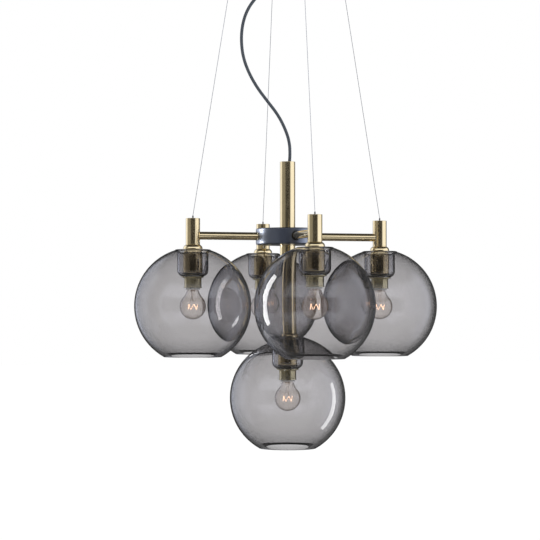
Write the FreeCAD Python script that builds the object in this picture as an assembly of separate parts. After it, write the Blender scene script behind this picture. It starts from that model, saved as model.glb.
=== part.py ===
"""A five-globe cluster pendant: a cross of four brass arms on a slate hub, with a fifth globe below.

Millimetres, +Z up. The origin is the centre of the canopy's ceiling face, and everything hangs below it.
The arms lie along X and Y. Each solid is one piece of the lamp.
"""
import FreeCAD
import Part
import math
import os

V = FreeCAD.Vector
UP = V(0, 0, 1)
TURN = 360

# Heights, measured down from the ceiling
CANOPY_UNDERSIDE = -30.0
TUBE_TOP = -411.3
STEM_TOP = -511.6
HUB_TOP = -527.5
ARM_HEIGHT = -541.2
HOLDER_TOP = -556.3  # where each outer holder cap meets its stem
LOWER_DROP = 158.5  # how much lower the fifth holder hangs

# The frame
ARM_REACH = 168.0  # lamp axis to stem axis
ARM_RADIUS = 6.8
ARM_WALL = 1.2
HUB_RADIUS = 55.0
HUB_HEIGHT = 28.0
HUB_WALL = 8.0
HUB_PLATE = 4.0
HUB_EDGE = 1.6
COVER_THICKNESS = 3.0
COUNTERSINK = 8.6
STEM_RADIUS = 12.2
STEM_WALL = 1.5
TUBE_RADIUS = 13.25
TUBE_WALL = 1.75
END_FLOOR = 3.0
NIPPLE_RADIUS = 5.0  # the M10 nipple on each holder cap
NIPPLE_BORE = 3.4
NIPPLE_HEIGHT = 8.0
BUSH_DEPTH = 26.0  # the cord bush sits this far down the centre tube
BUSH_HEIGHT = 6.0

# One holder with its shade and bulb, measured down from the holder cap's top
CAP_RADIUS = 16.65
CAP_SHOULDER = 7.3
CAP_HEIGHT = 49.8
CAP_WALL = 1.2
GASKET_THICKNESS = 2.6
GASKET_RADIUS = 16.2
GLOBE_RADIUS = 100.0
GLOBE_CENTRE = -105.2
GLASS_WALL = 3.0  # of the cup
BALL_WALL = 3.8  # of the ball at its equator
BALL_LIFT = 1.8  # how far the hollow's centre is above the ball's, which thickens the wall towards the mouth
CREST = -9.0  # top of the rolled rim round the cup
CREST_RADIUS = 26.2
ROLL_RADIUS = 31.0
CUP_RADIUS = 26.7  # the cup, seen from inside the globe
CUP_CORNER = 11.0
CUP_UNDERSIDE = -55.9
MOUTH_PLANE = -192.4
FLOOR_HOLE = 14.4
SLEEVE_RADIUS = 14.0  # the holder's M28 thread
SLEEVE_END = -74.4
NOSE_RADIUS = 12.2
NOSE_END = -78.2
HOLDER_BORE = 9.3
CONTACT_BORE = 7.6
RING_RADIUS = 15.0
RING_BORE = 14.05
RING_HEIGHT = 19.5
FLANGE_RADIUS = 19.5
FLANGE_THICKNESS = 1.5
LIP_RADIUS = 15.6
LIP_HEIGHT = 2.0
THREAD_PITCH = 2.0
THREAD_DEPTH = 0.35
SHADE_PLAY = 0.1  # between the glass and what clamps it

# The bulb: an E14 golf-ball lamp
BULB_RADIUS = 22.3
BULB_CENTRE = -106.8
BULB_TIP = -51.4
BULB_WALL = 0.8
SHELL_RADIUS = 6.95
SHELL_TOP = -55.2
SHELL_END = -72.0
SKIRT_RADIUS = 8.5
SKIRT_END = -77.0
NECK_RADIUS = 10.6
NECK_END = -81.5

# The suspension
WIRE_RADIUS = 0.5
WIRE_LEAN = 0.1637  # how far a wire leans in for each millimetre that it rises
NIPPLE_TOP = 4.6
WIRE_NIPPLE_RADIUS = 1.3
GRIPPER_RADIUS = 4.0
GRIPPER_DROP = 9.0
GRIPPER_RISE = 12.0
CANOPY_RADIUS = 105.0
CANOPY_WALL = 1.5
BRACKET_WIDTH = 24.0
BRACKET_THICKNESS = 2.0
EAR_DROP = 14.0
BRACKET_HOLE = 2.75
BRACKET_HOLE_SPACING = 120.0
SUPPLY_HOLE = 8.0
CORD_RADIUS = 2.75
GRIP_RADIUS = 7.0
GRIP_DROP = 12.0
GRIP_RISE = 9.0

# The cord swings out sideways in one upright plane, as (sideways, height) points
CORD_PLANE_DEG = -15.5
CORD_ROUTE = [
    (0.0, -437.3),
    (2.5, -420.0),
    (4.5, -398.0),
    (3.0, -375.0),
    (-5.0, -352.0),
    (-17.0, -329.0),
    (-34.0, -307.0),
    (-53.0, -282.0),
    (-67.5, -256.0),
    (-77.0, -230.0),
    (-80.5, -204.0),
    (-79.5, -178.0),
    (-73.5, -154.0),
    (-62.0, -133.0),
    (-41.0, -111.0),
    (-17.0, -89.0),
    (-2.0, -66.0),
    (0.0, CANOPY_UNDERSIDE - GRIP_DROP),
]

SIDES = {"right": (1, 0), "back": (0, 1), "left": (-1, 0), "front": (0, -1)}


def outline_wire(start, steps):
    """A closed wire in the XZ plane. A step is a point (r, z), or a pair (mid, end) for an arc."""
    edges = []
    here = V(start[0], 0, start[1])
    for step in steps + [start]:
        if isinstance(step[0], tuple):
            mid, end = (V(p[0], 0, p[1]) for p in step)
            edges.append(Part.Arc(here, mid, end).toShape())
        else:
            end = V(step[0], 0, step[1])
            if end.distanceToPoint(here) < 1e-6:
                continue
            edges.append(Part.LineSegment(here, end).toShape())
        here = end
    return Part.Wire(edges)


def turned(start, *steps):
    """A solid turned round the Z axis from half of its section."""
    return Part.Face(outline_wire(start, list(steps))).revolve(V(), UP, TURN)


def rod(radius, low, high, bore=0.0):
    """An upright round bar or tube on the Z axis."""
    bar = Part.makeCylinder(radius, high - low, V(0, 0, low))
    if bore:
        bar = bar.cut(Part.makeCylinder(bore, high - low, V(0, 0, low)))
    return bar


def at(shape, x, y, z):
    moved = shape.copy()
    moved.translate(V(x, y, z))
    return moved


def arm_place(side):
    """The stem's place in plan on one side of the lamp."""
    return ARM_REACH * SIDES[side][0], ARM_REACH * SIDES[side][1]


def solids(shapes):
    """Several separate solids as one node."""
    return Part.makeCompound(shapes)


# ---- One holder, its shade and its bulb, with the holder cap's top at z = 0 ----


def holder_cap(neck):
    """A brass cup with a rounded shoulder, and a hollow nipple that goes up into the stem."""
    step = 0.8
    across, down = CAP_RADIUS - neck, CAP_SHOULDER - step
    bend = (across**2 + down**2) / (2 * across)
    half = math.atan2(down, bend - across) / 2
    middle = (CAP_RADIUS - bend + bend * math.cos(half), bend * math.sin(half) - CAP_SHOULDER)
    inner = CAP_RADIUS - CAP_WALL
    cup = turned(
        (NIPPLE_BORE, 0),
        (neck, 0),
        (neck, -step),
        (middle, (CAP_RADIUS, -CAP_SHOULDER)),
        (CAP_RADIUS, 0.8 - CAP_HEIGHT),
        (CAP_RADIUS - 0.5, -CAP_HEIGHT),
        (inner, -CAP_HEIGHT),
        (inner, -CAP_SHOULDER - 1.5),
        (neck - 2.5, -4.0),
        (NIPPLE_BORE, -4.0),
    )
    return cup.fuse(rod(NIPPLE_RADIUS, -1, NIPPLE_HEIGHT, NIPPLE_BORE)).removeSplitter()


def lampholder():
    """The E14 insert: a collar inside the cap, a sleeve through the glass, and a bore for the bulb."""
    collar = CAP_RADIUS - CAP_WALL - 0.05
    top = -22.0
    return turned(
        (1.5, top),
        (collar - 2.0, top),
        (collar, top - 2.0),
        (collar, -CAP_HEIGHT),
        (SLEEVE_RADIUS, -CAP_HEIGHT),
        (SLEEVE_RADIUS, SLEEVE_END),
        (NOSE_RADIUS, SLEEVE_END),
        (NOSE_RADIUS, NOSE_END),
        (HOLDER_BORE + 0.4, NOSE_END),
        (HOLDER_BORE, NOSE_END + 0.4),
        (HOLDER_BORE, SHELL_END + 1.0),
        (CONTACT_BORE, SHELL_END + 2.5),
        (CONTACT_BORE, BULB_TIP + 1.5),
        (1.5, BULB_TIP + 1.5),
    )


def gasket():
    """The soft washer between the holder cap's rim and the glass."""
    low = -CAP_HEIGHT - GASKET_THICKNESS
    return rod(GASKET_RADIUS, low, -CAP_HEIGHT, SLEEVE_RADIUS + 0.05)


def sphere_height(radius, r):
    """How far above the globe's centre a sphere's surface lies at a distance r from the axis."""
    return math.sqrt(radius**2 - r**2)


def sphere_point(radius, centre, degrees):
    """A point of a sphere's section, at an angle from straight up."""
    angle = math.radians(degrees)
    return radius * math.sin(angle), centre + radius * math.cos(angle)


def glass_shade():
    """A globe with a cup let into its top for the holder, and a ground mouth at the bottom."""
    inside = GLOBE_RADIUS - BALL_WALL
    inside_centre = GLOBE_CENTRE + BALL_LIFT
    cup_inside = CUP_RADIUS - GLASS_WALL
    floor_top = CUP_UNDERSIDE + GLASS_WALL + 0.4
    corner = CUP_CORNER - GLASS_WALL
    bend = math.sqrt(0.5)
    roll_outer = (ROLL_RADIUS, GLOBE_CENTRE + sphere_height(GLOBE_RADIUS, ROLL_RADIUS))
    roll_inner = (ROLL_RADIUS, inside_centre + sphere_height(inside, ROLL_RADIUS))
    bend_inner = (cup_inside - corner * (1 - bend), floor_top + corner * (1 - bend))
    mouth_outer = math.sqrt(GLOBE_RADIUS**2 - (MOUTH_PLANE - GLOBE_CENTRE) ** 2)
    mouth_inner = math.sqrt(inside**2 - (MOUTH_PLANE - inside_centre) ** 2)
    return turned(
        (mouth_outer, MOUTH_PLANE),
        (sphere_point(GLOBE_RADIUS, GLOBE_CENTRE, 88), roll_outer),
        ((CREST_RADIUS, CREST), (cup_inside, CREST - 3.2)),
        (cup_inside, floor_top + corner),
        (bend_inner, (cup_inside - corner, floor_top)),
        (FLOOR_HOLE, floor_top),
        (FLOOR_HOLE, CUP_UNDERSIDE),
        (CUP_RADIUS - CUP_CORNER, CUP_UNDERSIDE),
        (
            (CUP_RADIUS - CUP_CORNER * (1 - bend), CUP_UNDERSIDE + CUP_CORNER * (1 - bend)),
            (CUP_RADIUS, CUP_UNDERSIDE + CUP_CORNER),
        ),
        (CUP_RADIUS, CREST - 6.5),
        ((CUP_RADIUS + 1.2, CREST - 4.6), roll_inner),
        (sphere_point(inside, inside_centre, 88), (mouth_inner, MOUTH_PLANE)),
    )


def shade_ring():
    """The brass ring that screws onto the sleeve and clamps the glass on its flange."""
    top = CUP_UNDERSIDE - SHADE_PLAY
    end = CUP_UNDERSIDE - RING_HEIGHT
    steps = [
        (FLANGE_RADIUS, top),
        (FLANGE_RADIUS, top - FLANGE_THICKNESS),
        (RING_RADIUS + 0.8, top - FLANGE_THICKNESS - 0.3),
        (RING_RADIUS, top - FLANGE_THICKNESS - 1.2),
    ]
    groove = top - FLANGE_THICKNESS - 2.4
    while groove - THREAD_PITCH > end + LIP_HEIGHT:
        steps += [
            (RING_RADIUS, groove),
            (RING_RADIUS - THREAD_DEPTH, groove - 0.35 * THREAD_PITCH),
            (RING_RADIUS, groove - 0.7 * THREAD_PITCH),
        ]
        groove -= THREAD_PITCH
    steps += [
        (RING_RADIUS, end + LIP_HEIGHT),
        ((LIP_RADIUS, end + 0.5 * LIP_HEIGHT), (RING_RADIUS, end)),
        (RING_BORE, end),
    ]
    return turned((RING_BORE, top), *steps)


def bulb_glass():
    """The clear envelope, a thin closed shell that starts inside the cap's skirt."""
    inner = BULB_RADIUS - BULB_WALL
    seat = SKIRT_RADIUS - 0.4
    seat_top = SKIRT_END + 1.5
    return turned(
        (seat, seat_top),
        (seat, SKIRT_END - 0.6),
        (NECK_RADIUS, NECK_END),
        ((13.4, -87.6), sphere_point(BULB_RADIUS, BULB_CENTRE, 50)),
        (sphere_point(BULB_RADIUS, BULB_CENTRE, 115), (0, BULB_CENTRE - BULB_RADIUS)),
        (0, BULB_CENTRE - inner),
        (sphere_point(inner, BULB_CENTRE, 115), sphere_point(inner, BULB_CENTRE, 50)),
        ((13.4 - BULB_WALL, -87.9), (NECK_RADIUS - BULB_WALL, NECK_END - 0.3)),
        (seat - BULB_WALL, SKIRT_END - 0.9),
        (seat - BULB_WALL, seat_top),
    )


def bulb_cap():
    """The screw cap: the threaded shell with its skirt, and the insulated contact on top."""
    shell_steps = [(SHELL_RADIUS - 0.6, SHELL_TOP)]
    crest = SHELL_TOP - 1.0
    pitch = 2.82
    while crest - pitch > SHELL_END:
        shell_steps += [
            ((SHELL_RADIUS, crest - 0.25 * pitch), (SHELL_RADIUS - 0.5, crest - 0.6 * pitch)),
            (SHELL_RADIUS - 0.5, crest - pitch),
        ]
        crest -= pitch
    shell_steps += [
        (SHELL_RADIUS - 0.5, SHELL_END),
        (SKIRT_RADIUS, SHELL_END - 2.0),
        (SKIRT_RADIUS, SKIRT_END),
        (SKIRT_RADIUS - 0.38, SKIRT_END),
        (SKIRT_RADIUS - 0.38, SHELL_END - 2.3),
        (SHELL_RADIUS - 0.9, SHELL_END - 0.2),
        (SHELL_RADIUS - 0.9, SHELL_TOP - 0.4),
        (3.2, SHELL_TOP - 0.4),
    ]
    shell = turned((3.2, SHELL_TOP), *shell_steps)
    insulator = turned((0, SHELL_TOP), (5.2, SHELL_TOP), (3.0, BULB_TIP - 1.2), (0, BULB_TIP - 1.2))
    contact = turned(
        (0, BULB_TIP - 1.2), (2.4, BULB_TIP - 1.2), (2.1, BULB_TIP - 0.4), (1.2, BULB_TIP), (0, BULB_TIP)
    )
    return solids([shell, insulator, contact])


def filament():
    """The glass foot inside the bulb, its support wires and the zigzag filament."""
    foot = turned(
        (0, SKIRT_END + 3),
        (5.5, SKIRT_END + 3),
        ((3.4, NECK_END - 1), (2.2, NECK_END - 6)),
        (1.7, NECK_END - 14),
        ((1.2, NECK_END - 15.5), (0, NECK_END - 16)),
    )
    low = BULB_CENTRE - 5.5
    high = BULB_CENTRE + 3.5
    count = 4
    points = []
    for step in range(2 * count + 1):
        angle = math.radians(-150 + 300 * step / (2 * count))
        radius = 8.0
        points.append(V(radius * math.sin(angle), -radius * math.cos(angle), low if step % 2 else high))
    supports = []
    for end in (points[0], points[-1]):
        supports.append(wire_between(V(0.24 * end.x, 0.24 * end.y, NECK_END - 5), end, 0.3))
    for top in points[2:-2:2]:
        supports.append(wire_between(V(0.12 * top.x, 0.12 * top.y, NECK_END - 14.5), top, 0.2))
    coil = [wire_between(a, b, 0.28) for a, b in zip(points, points[1:])]
    body = foot
    for piece in supports + coil:
        body = body.fuse(piece)
    for point in points:
        body = body.fuse(Part.makeSphere(0.34, point))
    return body


def wire_between(start, end, radius):
    """A straight round bar from one point to another."""
    along = end - start
    return Part.makeCylinder(radius, along.Length, start, along)


# ---- The frame ----


def stem():
    """A brass tube with a flat closed top, a floor for the nipple and a side hole for the arm."""
    inner = STEM_RADIUS - STEM_WALL
    low, high = HOLDER_TOP, STEM_TOP
    tube = turned(
        (WIRE_NIPPLE_RADIUS, high),
        (STEM_RADIUS - 0.4, high),
        (STEM_RADIUS, high - 0.4),
        (STEM_RADIUS, low),
        (NIPPLE_RADIUS, low),
        (NIPPLE_RADIUS, low + END_FLOOR),
        (inner, low + END_FLOOR),
        (inner, high - 2.5),
        (WIRE_NIPPLE_RADIUS, high - 2.5),
    )
    hole = Part.makeCylinder(ARM_RADIUS, STEM_RADIUS, V(0, 0, ARM_HEIGHT), V(-1, 0, 0))
    return tube.cut(hole)


def arm():
    """The tube from inside the hub wall to inside the stem, along +X."""
    start = HUB_RADIUS - HUB_WALL - 2.0
    end = ARM_REACH - STEM_RADIUS + STEM_WALL + 0.6
    outer = Part.makeCylinder(ARM_RADIUS, end - start, V(start, 0, ARM_HEIGHT), V(1, 0, 0))
    bore = Part.makeCylinder(ARM_RADIUS - ARM_WALL, end - start, V(start, 0, ARM_HEIGHT), V(1, 0, 0))
    return outer.cut(bore)


def turned_to(shape, side):
    """A shape made on the +X arm, turned to another side of the lamp."""
    x, y = SIDES[side]
    copy = shape.copy()
    copy.rotate(V(), UP, math.degrees(math.atan2(y, x)))
    return copy


def centre_tube():
    """The long tube through the hub, open at the top, with a floor for the lower holder's nipple."""
    inner = TUBE_RADIUS - TUBE_WALL
    low = HOLDER_TOP - LOWER_DROP
    return turned(
        (inner, TUBE_TOP),
        (TUBE_RADIUS - 0.3, TUBE_TOP),
        (TUBE_RADIUS, TUBE_TOP - 0.3),
        (TUBE_RADIUS, low),
        (NIPPLE_RADIUS, low),
        (NIPPLE_RADIUS, low + END_FLOOR),
        (inner, low + END_FLOOR),
    )


def tube_bush():
    """The plastic bush in the tube that holds the cord on the axis."""
    top = TUBE_TOP - BUSH_DEPTH
    return rod(TUBE_RADIUS - TUBE_WALL, top - BUSH_HEIGHT, top, CORD_RADIUS)


def hub_body():
    """The painted hub: a thick ring with a top plate, open below, with a hole for each arm."""
    low = HUB_TOP - HUB_HEIGHT
    rim = HUB_RADIUS - HUB_WALL
    seat = rim + 3.0
    hub = turned(
        (TUBE_RADIUS, HUB_TOP),
        (HUB_RADIUS - HUB_EDGE, HUB_TOP),
        (HUB_RADIUS, HUB_TOP - HUB_EDGE),
        (HUB_RADIUS, low + HUB_EDGE),
        (HUB_RADIUS - HUB_EDGE, low),
        (seat, low),
        (seat, low + COVER_THICKNESS),
        (rim, low + COVER_THICKNESS),
        (rim, HUB_TOP - HUB_PLATE),
        (TUBE_RADIUS, HUB_TOP - HUB_PLATE),
    )
    for side in SIDES:
        hole = Part.makeCylinder(ARM_RADIUS, HUB_WALL + 4, V(rim - 2, 0, ARM_HEIGHT), V(1, 0, 0))
        depth = COUNTERSINK - ARM_RADIUS
        low_end = V(HUB_RADIUS - depth - 0.25, 0, ARM_HEIGHT)
        sink = Part.makeCone(ARM_RADIUS, COUNTERSINK + 0.7, depth + 0.7, low_end, V(1, 0, 0))
        hub = hub.cut(turned_to(hole.fuse(sink), side))
    return hub


def hub_cover():
    """The disc that closes the hub from below, round the centre tube."""
    low = HUB_TOP - HUB_HEIGHT
    return rod(HUB_RADIUS - HUB_WALL + 3.0, low, low + COVER_THICKNESS, TUBE_RADIUS)


# ---- The suspension ----


def wire_foot(side):
    x, y = SIDES[side]
    return V(ARM_REACH * x, ARM_REACH * y, STEM_TOP + NIPPLE_TOP)


def wire_head(side):
    """Where a wire meets its gripper under the canopy."""
    rise = CANOPY_UNDERSIDE - GRIPPER_DROP - STEM_TOP - NIPPLE_TOP
    x, y = SIDES[side]
    reach = ARM_REACH - WIRE_LEAN * rise
    return V(reach * x, reach * y, CANOPY_UNDERSIDE - GRIPPER_DROP)


def steel_wire(side):
    return wire_between(wire_foot(side), wire_head(side), WIRE_RADIUS)


def wire_nipple(side):
    """The small crimped ferrule that holds a wire in the top of its stem."""
    x, y = arm_place(side)
    nipple = turned(
        (0, STEM_TOP - 5.5),
        (3.0, STEM_TOP - 5.5),
        (3.0, STEM_TOP - 2.5),
        (WIRE_NIPPLE_RADIUS, STEM_TOP - 2.5),
        (WIRE_NIPPLE_RADIUS, STEM_TOP + NIPPLE_TOP - 0.8),
        (WIRE_NIPPLE_RADIUS - 0.5, STEM_TOP + NIPPLE_TOP),
        (0, STEM_TOP + NIPPLE_TOP),
    )
    return at(nipple, x, y, 0)


def wire_gripper(side):
    """The brass gripper through the canopy, which takes a wire and adjusts the height."""
    head = wire_head(side)
    low, high = CANOPY_UNDERSIDE - GRIPPER_DROP, CANOPY_UNDERSIDE + GRIPPER_RISE
    plate = CANOPY_UNDERSIDE + CANOPY_WALL
    gripper = turned(
        (0, low),
        (2.2, low),
        (GRIPPER_RADIUS - 0.6, low + 3.0),
        (GRIPPER_RADIUS, low + 3.4),
        (GRIPPER_RADIUS, CANOPY_UNDERSIDE),
        (3.0, CANOPY_UNDERSIDE),
        (3.0, plate),
        (5.5, plate),
        (5.5, plate + 3.5),
        (3.0, plate + 3.5),
        (3.0, high),
        (0, high),
    )
    return at(gripper, head.x, head.y, 0)


def canopy():
    """The shallow cup that covers the ceiling fixing, with holes for the wires and the cord."""
    inner = CANOPY_RADIUS - CANOPY_WALL
    low = CANOPY_UNDERSIDE
    cup = turned(
        (0, low),
        (CANOPY_RADIUS - 4, low),
        ((CANOPY_RADIUS - 1.2, low + 1.2), (CANOPY_RADIUS, low + 4)),
        (CANOPY_RADIUS, 0),
        (inner, 0),
        (inner, low + 4),
        ((inner - 0.8, low + CANOPY_WALL + 0.8), (inner - 2.5, low + CANOPY_WALL)),
        (0, low + CANOPY_WALL),
    )
    for side in SIDES:
        head = wire_head(side)
        cup = cup.cut(Part.makeCylinder(3.0, 10, V(head.x, head.y, low - 2)))
        screw = Part.makeCylinder(1.6, 12, V(inner - 3, 0, -7), V(1, 0, 0))
        if side in ("left", "right"):
            cup = cup.cut(turned_to(screw, side))
    return cup.cut(Part.makeCylinder(5.0, 10, V(0, 0, low - 2)))


def bracket():
    """The steel bar screwed to the ceiling, with a turned-down ear at each end for the side screws."""
    reach = CANOPY_RADIUS - CANOPY_WALL - 1.0
    side = BRACKET_WIDTH / 2
    bar = Part.makeBox(2 * reach, BRACKET_WIDTH, BRACKET_THICKNESS, V(-reach, -side, -BRACKET_THICKNESS))
    for sign in (1, -1):
        near = -reach if sign < 0 else reach - BRACKET_THICKNESS
        ear = Part.makeBox(BRACKET_THICKNESS, BRACKET_WIDTH, EAR_DROP, V(near, -side, -EAR_DROP))
        bar = bar.fuse(ear)
        hole = Part.makeCylinder(BRACKET_HOLE, 6, V(sign * BRACKET_HOLE_SPACING / 2, 0, -4))
        thread = Part.makeCylinder(1.6, 6, V(sign * (reach + 1), 0, -7), V(-sign, 0, 0))
        bar = bar.cut(hole).cut(thread)
    return bar.cut(Part.makeCylinder(SUPPLY_HOLE, 6, V(0, 0, -4))).removeSplitter()


def canopy_screw(side):
    """A small round-headed screw through the canopy's wall into the bracket's ear, along +X."""
    wall = CANOPY_RADIUS
    shank = Part.makeCylinder(1.6, 6.5, V(wall - 6.5, 0, -7), V(1, 0, 0))
    head = Part.makeCylinder(3.0, 1.8, V(wall, 0, -7), V(1, 0, 0))
    slot = Part.makeBox(1.0, 0.8, 7.0, V(wall + 1.0, -0.4, -10.5))
    return turned_to(shank.fuse(head).cut(slot), side)


def cord_grip():
    """The gland that clamps the cord under the canopy, with its locknut inside."""
    low = CANOPY_UNDERSIDE - GRIP_DROP
    plate = CANOPY_UNDERSIDE + CANOPY_WALL
    return turned(
        (CORD_RADIUS, low),
        (4.6, low),
        (GRIP_RADIUS - 0.6, low + 4.5),
        (GRIP_RADIUS, low + 5.5),
        (GRIP_RADIUS, CANOPY_UNDERSIDE),
        (5.0, CANOPY_UNDERSIDE),
        (5.0, plate),
        (8.0, plate),
        (8.0, plate + 3.0),
        (5.0, plate + 3.0),
        (5.0, CANOPY_UNDERSIDE + GRIP_RISE),
        (CORD_RADIUS, CANOPY_UNDERSIDE + GRIP_RISE),
    )


def terminal_block():
    """The three-way terminal block on the bracket, with its wire and screw holes."""
    width, depth, height = 30.0, 20.0, 13.0
    centre = V(36.0, 0, -BRACKET_THICKNESS - height)
    block = Part.makeBox(width, depth, height, centre - V(width / 2, depth / 2, 0))
    for index in (-1, 0, 1):
        x = centre.x + index * 9.5
        bore = Part.makeCylinder(2.0, depth + 2, V(x, -depth / 2 - 1, centre.z + 5.5), V(0, 1, 0))
        screws = [Part.makeCylinder(1.7, 4, V(x, y, centre.z - 1)) for y in (-5.5, 5.5)]
        block = block.cut(bore)
        for screw in screws:
            block = block.cut(screw)
    return block


def cord_points():
    swing = math.radians(CORD_PLANE_DEG)
    return [V(s * math.cos(swing), s * math.sin(swing), z) for s, z in CORD_ROUTE]


def mains_cord():
    """The fabric cord: straight runs joined by tangent arcs as large as the runs allow."""
    points = cord_points()
    edges = []
    here = points[0]
    for before, corner, after in zip(points, points[1:], points[2:]):
        back, ahead = before - corner, after - corner
        half_turn = (math.pi - back.getAngle(ahead)) / 2
        trim = 0.45 * min(back.Length, ahead.Length)
        radius = trim / math.tan(half_turn)
        print("cord bend radius", round(radius, 1))
        back.normalize()
        ahead.normalize()
        middle = back + ahead
        middle.normalize()
        enter, leave = corner + back * trim, corner + ahead * trim
        mid = corner + middle * (radius / math.cos(half_turn) - radius)
        edges.append(Part.LineSegment(here, enter).toShape())
        edges.append(Part.Arc(enter, mid, leave).toShape())
        here = leave
    edges.append(Part.LineSegment(here, points[-1]).toShape())
    path = Part.Wire(edges)
    start = points[1] - points[0]
    circle = Part.Wire(Part.makeCircle(CORD_RADIUS, points[0], start))
    tube = path.makePipeShell([circle], True, True)
    expected = math.pi * CORD_RADIUS**2 * path.Length
    print("cord length", round(path.Length, 1), "volume ratio", round(tube.Volume / expected, 4))
    return tube


def build():
    """Every node of the lamp, by name."""
    nodes = {
        "centre_tube": centre_tube(),
        "tube_bush": tube_bush(),
        "hub_body": hub_body(),
        "hub_cover": hub_cover(),
        "ceiling_canopy": canopy(),
        "ceiling_bracket": bracket(),
        "canopy_screws": solids([canopy_screw(side) for side in ("left", "right")]),
        "cord_grip": cord_grip(),
        "terminal_block": terminal_block(),
        "mains_cord": mains_cord(),
        "wire_nipples": solids([wire_nipple(side) for side in SIDES]),
        "wire_grippers": solids([wire_gripper(side) for side in SIDES]),
    }
    for side in SIDES:
        nodes[f"arm_{side}"] = turned_to(arm(), side)
        nodes[f"stem_{side}"] = turned_to(at(stem(), ARM_REACH, 0, 0), side)
        nodes[f"steel_wire_{side}"] = steel_wire(side)
    units = {side: (*arm_place(side), HOLDER_TOP) for side in SIDES}
    units["lower"] = (0, 0, HOLDER_TOP - LOWER_DROP)
    parts = {
        "lampholder": lampholder(),
        "glass_shade": glass_shade(),
        "shade_ring": shade_ring(),
        "bulb_glass": bulb_glass(),
        "bulb_cap": bulb_cap(),
        "filament": filament(),
    }
    for unit, place in units.items():
        neck = TUBE_RADIUS if unit == "lower" else STEM_RADIUS
        nodes[f"holder_cap_{unit}"] = at(holder_cap(neck), *place)
        for name, shape in parts.items():
            nodes[f"{name}_{unit}"] = at(shape, *place)
    nodes["shade_gaskets"] = solids([at(gasket(), *place) for place in units.values()])
    return nodes


os.makedirs("parts", exist_ok=True)
for name, shape in build().items():
    for solid in shape.Solids:
        if not solid.isValid() or solid.Volume <= 0:
            raise ValueError(f"{name} has a solid that is not sound: {solid.Volume}")
    shape.exportStep(f"parts/{name}.step")
    print(name, len(shape.Solids), round(shape.Volume))
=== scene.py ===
"""A cluster pendant with five smoked-glass globes on a brass cross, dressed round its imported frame."""

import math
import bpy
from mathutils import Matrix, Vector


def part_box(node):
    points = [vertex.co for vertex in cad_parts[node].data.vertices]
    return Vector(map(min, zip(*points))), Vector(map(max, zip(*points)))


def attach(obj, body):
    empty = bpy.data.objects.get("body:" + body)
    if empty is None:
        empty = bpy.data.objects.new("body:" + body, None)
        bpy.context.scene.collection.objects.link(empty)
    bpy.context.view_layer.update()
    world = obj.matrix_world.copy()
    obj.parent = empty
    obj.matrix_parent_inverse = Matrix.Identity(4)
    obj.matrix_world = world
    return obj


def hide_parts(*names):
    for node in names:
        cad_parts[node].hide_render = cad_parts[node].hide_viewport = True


bl_info = {
    "name": "Cluster Pendant",
    "version": (1, 0, 0),
    "blender": (4, 5, 0),
    "location": "View3D > Sidebar > Pendant",
    "description": "Builds the glass, brass, cord and wires of a five-globe pendant",
    "category": "Object",
}

from functools import cache

import bmesh
import bpy
import numpy as np
from bpy.props import FloatProperty, FloatVectorProperty, IntProperty, PointerProperty
from mathutils import Matrix, Vector

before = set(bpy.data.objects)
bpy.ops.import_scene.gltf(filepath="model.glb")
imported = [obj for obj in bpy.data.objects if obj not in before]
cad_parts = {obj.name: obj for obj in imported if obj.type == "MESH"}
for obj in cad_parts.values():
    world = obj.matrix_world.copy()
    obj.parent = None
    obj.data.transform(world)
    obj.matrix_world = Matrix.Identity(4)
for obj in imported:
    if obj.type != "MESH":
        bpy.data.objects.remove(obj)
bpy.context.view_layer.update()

MM = 0.001
SIDES = {"right": (1, 0), "back": (0, 1), "left": (-1, 0), "front": (0, -1)}
UNITS = [*SIDES, "lower"]
FULL_TURN = 2 * math.pi
LAY_DOWN = Matrix.Rotation(math.pi / 2, 4, "Y")  # from upright to along the +X arm

# The frame's tubes and hub, in millimetres
TUBE_RADIUS = 13.25
TUBE_WALL = 1.75
STEM_WALL = 1.5
ARM_WALL = 1.2
END_FLOOR = 3
NIPPLE_RADIUS = 5.0
WIRE_HOLE = 1.4
HUB_EDGE = 1.6
HUB_LEDGE = 5.0
HUB_WALL = 8.0
HUB_PLATE = 4
COVER_THICKNESS = 3
CANOPY_WALL = 1.5

# Sections of the holders, shades and bulbs, in millimetres below the top of their holder cap
CAP_HEIGHT = 49.8
CAP_RADIUS = 16.65
CAP_WALL = 1.2
GASKET_THICKNESS = 2.6
GASKET_RADIUS = 16.2
GLOBE_CENTRE = -105.2
CREST = -9.0
ROLL_RADIUS = 31.0
CUP_RADIUS = 26.7
CUP_CORNER = 11.0
CUP_WALL = 3.0
BALL_LIFT = 1.8
CUP_UNDERSIDE = -55.9
MOUTH_PLANE = -192.4
FLOOR_HOLE = 14.4
RING_BORE = 14.05
RING_TOP = -56.0
RING_END = -75.4
BULB_CENTRE = -106.8
BULB_RADIUS = 22.3
BULB_TIP = -51.4
SKIRT_END = -77.0
NECK_END = -81.5

# Heights in millimetres below the ceiling
CANOPY_UNDERSIDE = -30.0
ARM_HEIGHT = -541.2

BRAID_STRANDS = 8  # pairs of strands round the cord
CUP_TINT = (0.88, 0.875, 0.88)  # what one wall of a globe's cup lets through

# The cord's route in its upright plane, as (sideways, height) in millimetres
CORD_PLANE = math.radians(-15.5)
CORD_ROUTE = [
    (0.0, -437.3),
    (2.5, -420.0),
    (4.5, -398.0),
    (3.0, -375.0),
    (-5.0, -352.0),
    (-17.0, -329.0),
    (-34.0, -307.0),
    (-53.0, -282.0),
    (-67.5, -256.0),
    (-77.0, -230.0),
    (-80.5, -204.0),
    (-79.5, -178.0),
    (-73.5, -154.0),
    (-62.0, -133.0),
    (-41.0, -111.0),
    (-17.0, -89.0),
    (-2.0, -66.0),
    (0.0, -42.0),
]

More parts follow.
